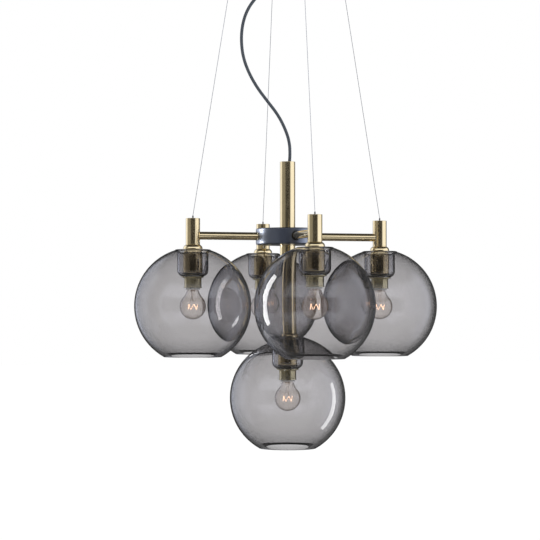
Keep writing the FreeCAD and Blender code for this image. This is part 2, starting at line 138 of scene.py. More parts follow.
# The camera: its distance from the lamp's axis, its height, and where it looks
CAMERA_SIDE = math.radians(-15.5)
CAMERA_DISTANCE = 3.055
CAMERA_HEIGHT = -0.670
CAMERA_PITCH = math.radians(1.33)
CAMERA_YAW = math.radians(0.572)
CAMERA_LENS = 117.53
FLOOR_HEIGHT = -2.0


def size_prop(name, description, default):
    return FloatProperty(name=name, description=description, default=default, unit="LENGTH", precision=5)


def colour_prop(name, description, default):
    return FloatVectorProperty(name=name, description=description, default=default, subtype="COLOR", size=3)


class PendantSizes(bpy.types.PropertyGroup):
    globe_radius: size_prop("Globe radius", "Outside radius of each glass globe", 0.1)
    glass_wall: size_prop("Glass wall", "Thickness of the globes' glass at the equator", 0.0038)
    wire_diameter: size_prop("Wire diameter", "Diameter of the twisted steel wires", 0.001)
    wire_lay: size_prop("Wire lay", "Length of wire in which a strand goes once round", 0.007)
    cord_diameter: size_prop("Cord diameter", "Outside diameter of the textile cord", 0.0055)
    braid_pitch: size_prop("Braid pitch", "Length of one crossing of the cord's braid", 0.0016)
    segments: IntProperty(
        name="Segments", description="Steps round a turned piece", default=96, min=24, max=256
    )


class PendantColours(bpy.types.PropertyGroup):
    brass: colour_prop("Brass", "Colour of the satin brass", (0.78, 0.64, 0.38))
    bright_brass: colour_prop("Ring brass", "Colour of the rolled shade rings", (0.74, 0.66, 0.42))
    slate: colour_prop("Slate paint", "Colour of the hub's and canopy's metallic paint", (0.12, 0.135, 0.17))
    glass: colour_prop("Glass tint", "What one wall of a globe lets through", (0.685, 0.675, 0.68))
    cord: colour_prop("Cord", "Colour of the cord's yarn", (0.085, 0.10, 0.12))
    filament: colour_prop("Filament", "Colour of the filament's light", (1.0, 0.47, 0.25))


# ---- Outlines ----


def arc_through(start, mid, end, steps):
    """Points of the circle's arc from start through mid to end, without its start."""
    (ax, ay), (bx, by), (cx, cy) = start, mid, end
    d = 2 * (ax * (by - cy) + bx * (cy - ay) + cx * (ay - by))
    a2, b2, c2 = ax * ax + ay * ay, bx * bx + by * by, cx * cx + cy * cy
    ux = (a2 * (by - cy) + b2 * (cy - ay) + c2 * (ay - by)) / d
    uy = (a2 * (cx - bx) + b2 * (ax - cx) + c2 * (bx - ax)) / d
    radius = math.hypot(ax - ux, ay - uy)
    first, middle, last = (math.atan2(y - uy, x - ux) for x, y in (start, mid, end))
    sweep = (last - first) % FULL_TURN
    if (middle - first) % FULL_TURN > sweep:
        sweep -= FULL_TURN
    angles = [first + sweep * i / steps for i in range(1, steps + 1)]
    return [(ux + radius * math.cos(a), uy + radius * math.sin(a)) for a in angles]


def rounded(corners, steps=4):
    """An outline from corners (r, z) or (r, z, radius of the rounding). A narrow strip beside each rounding
    keeps the shading of a long wall flat."""
    count = len(corners)
    places = [Vector(corner[:2]) for corner in corners]
    radii = [corner[2] if len(corner) > 2 else 0 for corner in corners]
    ways, trims = [], []
    for i, here in enumerate(places):
        back = (places[i - 1] - here).normalized()
        ahead = (places[(i + 1) % count] - here).normalized()
        ways.append((back, ahead))
        trims.append(radii[i] / math.tan(back.angle(ahead) / 2) if radii[i] else 0)
    points = []
    for i, here in enumerate(places):
        radius, trim = radii[i], trims[i]
        if not radius:
            points.append(tuple(here))
            continue
        back, ahead = ways[i]
        centre = here + (back + ahead).normalized() * (radius / math.sin(back.angle(ahead) / 2))
        mid = centre + (here - centre).normalized() * radius
        enter, leave = here + back * trim, here + ahead * trim
        spare_back = (places[i - 1] - here).length - trim - trims[i - 1]
        spare_ahead = (places[(i + 1) % count] - here).length - trim - trims[(i + 1) % count]
        arc = arc_through(enter, mid, leave, steps)
        if spare_back > 1:
            points.append(tuple(enter + back * 0.3))
        points += [tuple(enter), *arc]
        if spare_ahead > 1:
            points.append(tuple(leave + ahead * 0.3))
    return points


def sphere_arc(radius, centre, first, last, step=2.0):
    """Points of a sphere's section between two angles from straight up, in degrees."""
    count = max(2, round(abs(last - first) / step))
    angles = [math.radians(first + (last - first) * i / count) for i in range(count + 1)]
    return [(radius * math.sin(a), centre + radius * math.cos(a)) for a in angles]


# ---- Meshes ----


def lathe(name, outline, segments, closed=True, sharp=32):
    """A mesh turned round Z from an outline in millimetres, with UVs in metres round and along it."""
    mesh = bmesh.new()
    uv = mesh.loops.layers.uv.new("UVMap")
    rings = []
    for r, z in outline:
        if r < 1e-6:
            rings.append([mesh.verts.new((0, 0, z * MM))])
            continue
        angles = [FULL_TURN * i / segments for i in range(segments)]
        rings.append([mesh.verts.new((r * MM * math.cos(a), r * MM * math.sin(a), z * MM)) for a in angles])
    widest = max(r for r, _ in outline) * MM
    along = [0.0]
    loop = [*outline, outline[0]] if closed else outline
    for a, b in zip(loop, loop[1:]):
        along.append(along[-1] + math.dist(a, b) * MM)
    for k in range(len(loop) - 1):
        near, far = rings[k], rings[(k + 1) % len(rings)]
        for i in range(segments):
            j = (i + 1) % segments
            corners = [(near, i, 0), (near, j, 0), (far, j, 1), (far, i, 1)]
            verts, uvs = [], []
            for ring, index, end in corners:
                vert = ring[index % len(ring)] if len(ring) > 1 else ring[0]
                if vert in verts:
                    continue
                step = i if index == i else i + 1
                verts.append(vert)
                uvs.append((FULL_TURN * widest * step / segments, along[k + end]))
            if len(verts) < 3:
                continue
            face = mesh.faces.new(verts)
            face.smooth = True
            for corner, place in zip(face.loops, uvs):
                corner[uv].uv = place
    bmesh.ops.recalc_face_normals(mesh, faces=mesh.faces)
    data = bpy.data.meshes.new(name)
    mesh.to_mesh(data)
    mesh.free()
    data.set_sharp_from_angle(angle=math.radians(sharp))
    return data


def sweep(name, path, profile, sides):
    """A closed mesh tube along a path. profile(turns round, metres along) gives each point's radius."""
    path = np.array(path, float)
    tangents = np.gradient(path, axis=0)
    tangents /= np.linalg.norm(tangents, axis=1)[:, None]
    along = np.concatenate([[0], np.cumsum(np.linalg.norm(np.diff(path, axis=0), axis=1))])
    side = np.cross(tangents[0], (0.3, 0.9, 0.2))
    side /= np.linalg.norm(side)
    rounds = np.arange(sides) / sides
    points = []
    for place, tangent, length in zip(path, tangents, along):
        side = side - tangent * (side @ tangent)
        side /= np.linalg.norm(side)
        up = np.cross(tangent, side)
        radii = profile(rounds, length)[:, None]
        angle = (FULL_TURN * rounds)[:, None]
        points.append(place + radii * (np.cos(angle) * side + np.sin(angle) * up))
    verts = np.concatenate([*points, path[:1], path[-1:]])
    faces, uvs = [], []
    for k in range(len(path) - 1):
        for i in range(sides):
            j = (i + 1) % sides
            faces.append((k * sides + i, k * sides + j, (k + 1) * sides + j, (k + 1) * sides + i))
            left, right = i / sides, (i + 1) / sides
            uvs += [(left, along[k]), (right, along[k]), (right, along[k + 1]), (left, along[k + 1])]
    first, last, base = len(verts) - 2, len(verts) - 1, (len(path) - 1) * sides
    for i in range(sides):
        j = (i + 1) % sides
        faces += [(j, i, first), (base + i, base + j, last)]
        uvs += [(0, 0)] * 6
    data = bpy.data.meshes.new(name)
    data.from_pydata(verts.tolist(), [], faces)
    layer = data.uv_layers.new(name="UVMap")
    layer.data.foreach_set("uv", np.array(uvs, np.float32).ravel())
    data.shade_smooth()
    return data


def show(name, data, material=None):
    """A new object at the origin that shows a mesh."""
    thing = bpy.data.objects.new(name, data)
    bpy.context.scene.collection.objects.link(thing)
    if material:
        data.materials.clear()
        data.materials.append(material)
    return thing


def piece(name, data, material, body, nodes=()):
    """A finished piece that rides on its body and stands for CAD nodes."""
    thing = show(name, data, material)
    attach(thing, body)
    if nodes:
        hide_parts(*nodes)
    return thing


def placed(data, matrix):
    """A copy of a mesh in its place."""
    copy = data.copy()
    copy.transform(matrix)
    return copy


def joined(name, parts):
    """One mesh from several, with their materials kept."""
    things = [show(name, part) for part in parts]
    with bpy.context.temp_override(
        active_object=things[0], selected_editable_objects=things, selected_objects=things
    ):
        bpy.ops.object.join()
    data = things[0].data
    bpy.data.objects.remove(things[0])
    return data


def plain(thing):
    """The evaluated object as a plain mesh, and the object that made it removed."""
    depsgraph = bpy.context.evaluated_depsgraph_get()
    data = bpy.data.meshes.new_from_object(thing.evaluated_get(depsgraph))
    bpy.data.objects.remove(thing)
    return data


def side_turn(side):
    """The turn that carries the +X arm to another side of the lamp."""
    x, y = SIDES[side]
    return Matrix.Rotation(math.atan2(y, x), 4, "Z")


def turned_box(node):
    """A turned node's radius, top and bottom in millimetres."""
    low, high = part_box(node)
    return (high.x - low.x) / 2 / MM, high.z / MM, low.z / MM


def unit_place(unit):
    """Where the top of a unit's holder cap is."""
    low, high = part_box(f"holder_cap_{unit}")
    return Matrix.Translation(((low.x + high.x) / 2, (low.y + high.y) / 2, low.z + CAP_HEIGHT * MM))


# ---- Node trees ----


class Graph:
    """A node tree that is written as short lines."""

    def __init__(self, tree):
        self.tree = tree
        tree.nodes.clear()

    def add(self, kind, values=None, **settings):
        node = self.tree.nodes.new(kind)
        for key, value in settings.items():
            setattr(node, key, value)
        for key, value in (values or {}).items():
            node.inputs[key].default_value = value
        node.location = (180 * len(self.tree.nodes), 0)
        return node

    def link(self, node, output, target, socket):
        self.tree.links.new(node.outputs[output], target.inputs[socket])

    def mix(self, first=None, second=None, **settings):
        """A colour Mix node."""
        colours = {key: (*colour, 1) for key, colour in (("A", first), ("B", second)) if colour}
        return self.add("ShaderNodeMix", colours, data_type="RGBA", **settings)

    def math(self, operation, first, second=None, third=None, clamp=False):
        """A Math node. Its values are numbers or (node, output) pairs."""
        node = self.add("ShaderNodeMath", operation=operation, use_clamp=clamp)
        for index, value in enumerate((first, second, third)):
            if isinstance(value, tuple):
                self.link(*value, node, index)
            elif value is not None:
                node.inputs[index].default_value = value
        return node, 0


def group_tree(name, kind, outputs, inputs):
    """A new node group with its sockets, and its graph. inputs gives each name's value, or a kind of socket
    that has none."""
    tree = bpy.data.node_groups.new(name, kind)
    for label, value in inputs.items():
        sort = {int: "Int", float: "Float"}.get(type(value), value)
        item = tree.interface.new_socket(name=label, in_out="INPUT", socket_type=f"NodeSocket{sort}")
        if value != sort:
            item.default_value = value
    for label in outputs:
        sort = "Geometry" if label == "Geometry" else "Float"
        tree.interface.new_socket(name=label, in_out="OUTPUT", socket_type=f"NodeSocket{sort}")
    return tree, Graph(tree)


@cache
def turned_finish_group():
    """Fine lines round a turned or drawn piece with cloudy handling marks, as a height, a roughness and a
    mask."""
    inputs = {"Round": 40.0, "Along": 9000.0, "Roughness": 0.2, "Spread": 0.06}
    tree, g = group_tree("turned_finish", "ShaderNodeTree", ["Height", "Roughness", "Clouds"], inputs)
    given = g.add("NodeGroupInput")
    place = g.add("ShaderNodeTexCoord")
    parts = g.add("ShaderNodeSeparateXYZ")
    g.link(place, "UV", parts, 0)
    lines_place = g.add("ShaderNodeCombineXYZ")
    g.link(*g.math("MULTIPLY", (parts, "X"), (given, "Round")), lines_place, "X")
    g.link(*g.math("MULTIPLY", (parts, "Y"), (given, "Along")), lines_place, "Y")
    lines = g.add("ShaderNodeTexNoise", {"Scale": 1.0, "Detail": 3.0, "Roughness": 0.6})
    g.link(lines_place, 0, lines, "Vector")
    clouds = g.add("ShaderNodeTexNoise", {"Scale": 45.0, "Detail": 4.0, "Roughness": 0.55})
    g.link(place, "Object", clouds, "Vector")
    line_part = g.math("SUBTRACT", (lines, "Fac"), 0.5)
    cloud_part = g.math("SUBTRACT", (clouds, "Fac"), 0.5)
    both = g.math("ADD", line_part, cloud_part)
    rough = g.math("ADD", g.math("MULTIPLY", both, (given, "Spread")), (given, "Roughness"), clamp=True)
    out = g.add("NodeGroupOutput")
    g.link(lines, "Fac", out, "Height")
    g.link(*rough, out, "Roughness")
    g.link(clouds, "Fac", out, "Clouds")
    return tree


@cache
def grain_group():
    """The orange-peel grain of paint or moulded plastic, with rubbed patches, as a height, a roughness and a
    mask."""
    inputs = {"Scale": 900.0, "Roughness": 0.4, "Spread": 0.12}
    tree, g = group_tree("skin_grain", "ShaderNodeTree", ["Height", "Roughness", "Patches"], inputs)
    given = g.add("NodeGroupInput")
    place = g.add("ShaderNodeTexCoord")
    grain = g.add("ShaderNodeTexNoise", {"Detail": 2.0})
    g.link(place, "Object", grain, "Vector")
    g.link(given, "Scale", grain, "Scale")
    patches = g.add("ShaderNodeTexNoise", {"Scale": 28.0, "Detail": 5.0})
    g.link(place, "Object", patches, "Vector")
    spread = g.math("MULTIPLY", g.math("SUBTRACT", (patches, "Fac"), 0.5), (given, "Spread"))
    rough = g.math("ADD", spread, (given, "Roughness"), clamp=True)
    out = g.add("NodeGroupOutput")
    g.link(grain, "Fac", out, "Height")
    g.link(*rough, out, "Roughness")
    g.link(patches, "Fac", out, "Patches")
    return tree


def new_material(name):
    """A new material with its graph and its Principled shader."""
    material = bpy.data.materials.new(name)
    material.use_nodes = True
    g = Graph(material.node_tree)
    shader = g.add("ShaderNodeBsdfPrincipled")
    out = g.add("ShaderNodeOutputMaterial")
    g.link(shader, "BSDF", out, "Surface")
    return material, g, shader


def finish_with(g, shader, group, values, mask, colours, bump, distance):
    """Feeds a group's roughness, height and mask to a shader. The mask blends two colours."""
    effect = g.add("ShaderNodeGroup", node_tree=group)
    for key, value in values.items():
        effect.inputs[key].default_value = value
    blend = g.mix(*colours)
    g.link(effect, mask, blend, "Factor")
    g.link(blend, "Result", shader, "Base Color")
    relief = g.add("ShaderNodeBump", {"Strength": bump, "Distance": distance})
    g.link(effect, "Height", relief, "Height")
    g.link(relief, "Normal", shader, "Normal")
    g.link(effect, "Roughness", shader, "Roughness")


def scaled(colour, factor):
    return tuple(c * factor for c in colour)


@cache
def satin_brass():
    """Brass with a fine drawn finish under clear lacquer."""
    material, g, shader = new_material("satin_brass")
    brass = bpy.context.scene.pendant_colours.brass
    shader.inputs["Metallic"].default_value = 1.0
    values = {"Round": 500.0, "Along": 9000.0, "Roughness": 0.17, "Spread": 0.07}
    tones = (scaled(brass, 0.93), scaled(brass, 1.06))
    finish_with(g, shader, turned_finish_group(), values, "Clouds", tones, 0.02, 0.0001)
    return material


@cache
def bright_brass():
    """The thinner, yellower-green rolled brass of the shade rings."""
    material, g, shader = new_material("rolled_brass")
    brass = bpy.context.scene.pendant_colours.bright_brass
    shader.inputs["Metallic"].default_value = 1.0
    values = {"Round": 30.0, "Along": 4000.0, "Roughness": 0.11, "Spread": 0.08}
    tones = (scaled(brass, 0.9), scaled(brass, 1.05))
    finish_with(g, shader, turned_finish_group(), values, "Clouds", tones, 0.02, 0.0001)
    return material


@cache
def slate_paint():
    """Dark blue-grey metallic paint on the hub and canopy."""
    material, g, shader = new_material("slate_paint")
    slate = bpy.context.scene.pendant_colours.slate
    shader.inputs["Metallic"].default_value = 0.9
    shader.inputs["Coat Weight"].default_value = 0.5
    shader.inputs["Coat Roughness"].default_value = 0.2
    values = {"Scale": 1500.0, "Roughness": 0.34, "Spread": 0.08}
    tones = (scaled(slate, 0.88), scaled(slate, 1.12))
    finish_with(g, shader, grain_group(), values, "Patches", tones, 0.12, 0.0001)
    return material


@cache
def plastic(name, colour, roughness):
    """Moulded plastic."""
    material, g, shader = new_material(name)
    values = {"Scale": 2600.0, "Roughness": roughness, "Spread": 0.08}
    finish_with(g, shader, grain_group(), values, "Patches", (scaled(colour, 0.92), colour), 0.08, 0.0001)
    return material


def black_plastic():
    """What the cord's bush and grip are moulded in."""
    return plastic("black_plastic", (0.02, 0.02, 0.022), 0.4)


@cache
def plated_steel(name, colour, roughness, metallic=1.0):
    """Zinc or nickel plating with fine lines."""
    material, g, shader = new_material(name)
    shader.inputs["Metallic"].default_value = metallic
    values = {"Round": 60.0, "Along": 5000.0, "Roughness": roughness, "Spread": 0.1}
    tones = (scaled(colour, 0.86), colour)
    finish_with(g, shader, turned_finish_group(), values, "Clouds", tones, 0.05, 0.0001)
    return material


@cache
def glass(name, tint, ripple, roughness=0.0, edge=0.0, cup=None):
    """Blown glass: clear through, with a slow mould ripple, and darker where the wall is seen edge-on:
    partly the longer path through the tint, partly a painted dark outline. The first two numbers of cup are
    the stretch of its section, in metres along it, that has next to no smoke in it. The third is the
    section's length: the smoke is densest at its two ends, the mouth."""
    material, g, shader = new_material(name)
    shader.inputs["Transmission Weight"].default_value = 1.0
    shader.inputs["IOR"].default_value = 1.5
    shader.inputs["Roughness"].default_value = roughness
    # Painted dark outline: the tint darkens where the wall is seen edge-on, more than the longer path
    # through the glass alone would give.
    facing = g.add("ShaderNodeLayerWeight", {"Blend": 0.5})
    outline = g.math("MULTIPLY", g.math("POWER", (facing, "Facing"), 5.0), 0.7)
    painted_edge_shade = g.math("MULTIPLY_ADD", (facing, "Facing"), 0.3, outline)
    tones = g.mix(tint, scaled(tint, 1 - edge))
    g.link(*painted_edge_shade, tones, "Factor")
    place = g.add("ShaderNodeTexCoord")
    if cup:
        parts = g.add("ShaderNodeSeparateXYZ")
        g.link(place, "UV", parts, 0)
        start = g.math("GREATER_THAN", (parts, "Y"), cup[0])
        end = g.math("LESS_THAN", (parts, "Y"), cup[1])
        clearer = g.mix(tint, CUP_TINT)
        g.link(*g.math("MULTIPLY", start, end), clearer, 0)
        other_end = g.math("SUBTRACT", cup[2], (parts, "Y"))
        span = {"From Min": 0.012, "From Max": 0.045, "To Min": 0.8, "To Max": 1.0}
        mouth = g.add("ShaderNodeMapRange", span)
        g.link(*g.math("MINIMUM", (parts, "Y"), other_end), mouth, "Value")
        denser = g.mix(blend_type="MULTIPLY")
        denser.inputs["Factor"].default_value = 1.0
        g.link(clearer, "Result", denser, "A")
        g.link(mouth, "Result", denser, "B")
        g.link(denser, "Result", tones, "A")
    g.link(tones, "Result", shader, "Base Color")
    waves = g.add("ShaderNodeTexNoise", {"Scale": 22.0, "Detail": 1.0, "Roughness": 0.4})
    g.link(place, "Object", waves, "Vector")
    relief = g.add("ShaderNodeBump", {"Strength": ripple, "Distance": 0.001})
    g.link(waves, "Fac", relief, "Height")
    g.link(relief, "Normal", shader, "Normal")
    return material


@cache
def glowing_wire():
    """The hot tungsten coil."""
    material, g, shader = new_material("hot_filament")
    glow = bpy.context.scene.pendant_colours.filament
    shader.inputs["Base Color"].default_value = (0.2, 0.18, 0.16, 1)
    shader.inputs["Emission Strength"].default_value = 4.0
    place = g.add("ShaderNodeTexCoord")
    coils = g.add("ShaderNodeTexNoise", {"Scale": 900.0, "Detail": 1.0})
    g.link(place, "Object", coils, "Vector")
    tones = g.mix(scaled(glow, 0.8), (min(1, glow[0] * 1.2), glow[1] * 1.5, glow[2] * 2.0))
    g.link(coils, "Fac", tones, "Factor")
    g.link(tones, "Result", shader, "Emission Color")
    return material


@cache
def textile():
    """The braided yarn of the cord: painted highlights on the tops of the crossings and painted shade in the
    gaps, with the yarn's own random tone and a soft sheen.
    """
    material, g, shader = new_material("cord_textile")
    colour = bpy.context.scene.pendant_colours.cord
    pitch = bpy.context.scene.pendant_sizes.braid_pitch
    shader.inputs["Roughness"].default_value = 0.82
    shader.inputs["Sheen Weight"].default_value = 0.35
    shader.inputs["Sheen Roughness"].default_value = 0.4
    place = g.add("ShaderNodeTexCoord")
    parts = g.add("ShaderNodeSeparateXYZ")
    g.link(place, "UV", parts, 0)
    rounds = g.math("MULTIPLY", (parts, "X"), FULL_TURN * BRAID_STRANDS)
    alongs = g.math("MULTIPLY", (parts, "Y"), FULL_TURN / pitch)
    left = g.math("SINE", g.math("ADD", rounds, alongs))
    right = g.math("SINE", g.math("SUBTRACT", rounds, alongs))
    weave = g.math("MULTIPLY_ADD", g.math("MULTIPLY", left, right), 0.5, 0.5)
    yarn = g.add("ShaderNodeTexNoise", {"Scale": 2500.0, "Detail": 3.0})
    g.link(place, "Object", yarn, "Vector")
    # The colour mixes painted shade and highlight from the weave's relief with the yarn's own random tone;
    # the same mask drives the bump.
    mask = g.math("ADD", g.math("MULTIPLY", weave, 0.6), g.math("MULTIPLY", (yarn, "Fac"), 0.4), clamp=True)
    tones = g.mix(scaled(colour, 0.45), scaled(colour, 1.5))
    g.link(*mask, tones, "Factor")
    g.link(tones, "Result", shader, "Base Color")
    relief = g.add("ShaderNodeBump", {"Strength": 0.5, "Distance": 0.0002})
    g.link(*mask, relief, "Height")
    g.link(relief, "Normal", shader, "Normal")
    return material


@cache
def helix_tree():
    """A ridge that winds round the Z axis: the rolled thread of a cap or a ring."""
    sizes = {"Turns": 6.0, "Radius": 0.007, "Rise": 0.014, "Start": 0.0, "Thickness": 0.0006}
    inputs = {**sizes, "Material": "Material"}
    tree, g = group_tree("wound_ridge", "GeometryNodeTree", ["Geometry"], inputs)
    given = g.add("NodeGroupInput")
    spiral = g.add("GeometryNodeCurveSpiral", {"Resolution": 40})
    g.link(given, "Turns", spiral, "Rotations")
    g.link(given, "Radius", spiral, "Start Radius")
    g.link(given, "Radius", spiral, "End Radius")
    g.link(given, "Rise", spiral, "Height")
    section = g.add("GeometryNodeCurvePrimitiveCircle", {"Resolution": 10})
    g.link(given, "Thickness", section, "Radius")
    ridge = g.add("GeometryNodeCurveToMesh", {"Fill Caps": True})
    g.link(spiral, "Curve", ridge, "Curve")
    g.link(section, "Curve", ridge, "Profile Curve")
    lift = g.add("ShaderNodeCombineXYZ")
    g.link(given, "Start", lift, "Z")
    moved = g.add("GeometryNodeSetPosition")
    g.link(ridge, "Mesh", moved, "Geometry")
    g.link(lift, "Vector", moved, "Offset")
    smooth = g.add("GeometryNodeSetShadeSmooth")
    g.link(moved, "Geometry", smooth, "Geometry")
    real = g.add("GeometryNodeRealizeInstances")
    g.link(smooth, "Geometry", real, "Geometry")
    painted = g.add("GeometryNodeSetMaterial")
    g.link(real, "Geometry", painted, "Geometry")
    g.link(given, "Material", painted, "Material")
    out = g.add("NodeGroupOutput")
    g.link(painted, "Geometry", out, "Geometry")
    return tree


@cache
def ring_of_ribs_tree():
    """Upright ribs set round the Z axis, as on a gland's nut or a gripper's grip."""
    sizes = {"Count": 24, "Radius": 0.007, "Length": 0.006, "Thickness": 0.0005, "Height": 0.0}
    inputs = {**sizes, "Material": "Material"}
    tree, g = group_tree("ring_of_ribs", "GeometryNodeTree", ["Geometry"], inputs)
    given = g.add("NodeGroupInput")
    circle = g.add("GeometryNodeMeshCircle")
    g.link(given, "Count", circle, "Vertices")
    g.link(given, "Radius", circle, "Radius")
    rib = g.add("GeometryNodeMeshCylinder", {"Vertices": 8})
    g.link(given, "Thickness", rib, "Radius")
    g.link(given, "Length", rib, "Depth")
    copies = g.add("GeometryNodeInstanceOnPoints")
    g.link(circle, "Mesh", copies, "Points")
    g.link(rib, "Mesh", copies, "Instance")
    real = g.add("GeometryNodeRealizeInstances")
    g.link(copies, "Instances", real, "Geometry")
    lift = g.add("ShaderNodeCombineXYZ")
    g.link(given, "Height", lift, "Z")
    moved = g.add("GeometryNodeSetPosition")
    g.link(real, "Geometry", moved, "Geometry")
    g.link(lift, "Vector", moved, "Offset")
    painted = g.add("GeometryNodeSetMaterial")
    g.link(moved, "Geometry", painted, "Geometry")
    g.link(given, "Material", painted, "Material")
    out = g.add("NodeGroupOutput")
    g.link(painted, "Geometry", out, "Geometry")
    return tree


def grown(name, tree, material, counts, sizes):
    """A plain mesh from a geometry tree: its material, its counts and its sizes in millimetres."""
    values = {"Material": material, **counts, **{label: size * MM for label, size in sizes.items()}}
    thing = show(name, bpy.data.meshes.new(name))
    modifier = thing.modifiers.new(name, "NODES")
    modifier.node_group = tree
    for item in tree.interface.items_tree:
        if item.in_out == "INPUT" and item.name in values:
            modifier[item.identifier] = values[item.name]
    return plain(thing)


# ---- Pieces ----


class PENDANT_OT_arms(bpy.types.Operator):
    """Turns the four arms and their stems"""

    bl_idname = "pendant.arms"
    bl_label = "Arms and stems"

    def execute(self, context):
        segments = context.scene.pendant_sizes.segments
        brass = satin_brass()
        low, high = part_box("arm_right")
        radius = (high.z - low.z) / 2 / MM
        length = (high.x - low.x) / MM
        tube = rounded([(radius, 0), (radius, length), (radius - ARM_WALL, length), (radius - ARM_WALL, 0)])
        arm = lathe("arm", tube, 64)
        arm.transform(Matrix.Translation((low.x, 0, ARM_HEIGHT * MM)) @ LAY_DOWN)
        foot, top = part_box("stem_right")
        width = (top.x - foot.x) / 2 / MM
        tall = (top.z - foot.z) / MM
        stem_outline = rounded(
            [
                (WIRE_HOLE, tall),
                (width, tall, 0.5),
                (width, 0, 0.3),
                (NIPPLE_RADIUS, 0),
                (NIPPLE_RADIUS, END_FLOOR),
                (width - STEM_WALL, END_FLOOR),
                (width - STEM_WALL, tall - 2.5),
                (WIRE_HOLE, tall - 2.5),
            ]
        )
        stem = lathe("stem", stem_outline, segments)
        stem.transform(Matrix.Translation(((foot.x + top.x) / 2, 0, foot.z)))
        for side in SIDES:
            turn = side_turn(side)
            piece(f"arm_tube_{side}", placed(arm, turn), brass, "frame", [f"arm_{side}"])
            piece(f"stem_tube_{side}", placed(stem, turn), brass, "frame", [f"stem_{side}"])
        return {"FINISHED"}


class PENDANT_OT_centre_tube(bpy.types.Operator):
    """Turns the centre tube and the bush that holds the cord in it"""

    bl_idname = "pendant.centre_tube"
    bl_label = "Centre tube"

    def execute(self, context):
        segments = context.scene.pendant_sizes.segments
        radius, top, end = turned_box("centre_tube")
        outline = rounded(
            [
                (radius - TUBE_WALL, top, 0.3),
                (radius, top, 0.4),
                (radius, end, 0.3),
                (NIPPLE_RADIUS, end),
                (NIPPLE_RADIUS, end + END_FLOOR),
                (radius - TUBE_WALL, end + END_FLOOR),
            ]
        )
        tube = lathe("tube", outline, segments)
        piece("brass_tube", tube, satin_brass(), "frame", ["centre_tube"])
        radius, top, end = turned_box("tube_bush")
        inner = context.scene.pendant_sizes.cord_diameter / 2 / MM
        outline = rounded([(inner, top, 0.6), (radius, top, 0.4), (radius, end), (inner, end)])
        bush = lathe("bush", outline, 64)
        piece("cord_bush", bush, black_plastic(), "frame", ["tube_bush"])
        return {"FINISHED"}


class PENDANT_OT_hub(bpy.types.Operator):
    """Turns the painted hub with its four countersunk arm holes, and its cover"""

    bl_idname = "pendant.hub"
    bl_label = "Hub"

    def execute(self, context):
        radius, top, end = turned_box("hub_body")
        bore = TUBE_RADIUS
        outline = rounded(
            [
                (bore, top),
                (radius - HUB_EDGE, top, 0.5),
                (radius, top - HUB_EDGE, 0.8),
                (radius, end + HUB_EDGE, 0.8),
                (radius - HUB_EDGE, end, 0.5),
                (radius - HUB_LEDGE, end),
                (radius - HUB_LEDGE, end + COVER_THICKNESS),
                (radius - HUB_WALL, end + COVER_THICKNESS),
                (radius - HUB_WALL, top - HUB_PLATE),
                (bore, top - HUB_PLATE),
            ]
        )
        hub = show("hub", lathe("hub", outline, 192))
        sink = lathe("sink", rounded([(0, 0), (6.8, 0), (6.8, 10.2), (9.2, 12.6), (9.2, 20), (0, 20)]), 64)
        cutters = []
        for side in SIDES:
            reach = Matrix.Translation(((radius - 12) * MM, 0, ARM_HEIGHT * MM))
            cutter = show(f"sink_{side}", placed(sink, side_turn(side) @ reach @ LAY_DOWN))
            cutters.append(cutter)
            cut = hub.modifiers.new(f"sink_{side}", "BOOLEAN")
            cut.operation = "DIFFERENCE"
            cut.solver = "EXACT"
            cut.object = cutter
        data = plain(hub)
        for cutter in cutters:
            bpy.data.objects.remove(cutter)
        data.set_sharp_from_angle(angle=math.radians(32))
        piece("hub_shell", data, slate_paint(), "frame", ["hub_body"])
        radius, top, end = turned_box("hub_cover")
        rim = [(bore + 1.2, end, 0.4), (bore, end + 0.8)]
        outline = rounded([(bore, top), (radius, top), (radius, end, 0.5), *rim])
        cover = lathe("cover", outline, 128)
        piece("hub_lid", cover, slate_paint(), "frame", ["hub_cover"])
        return {"FINISHED"}


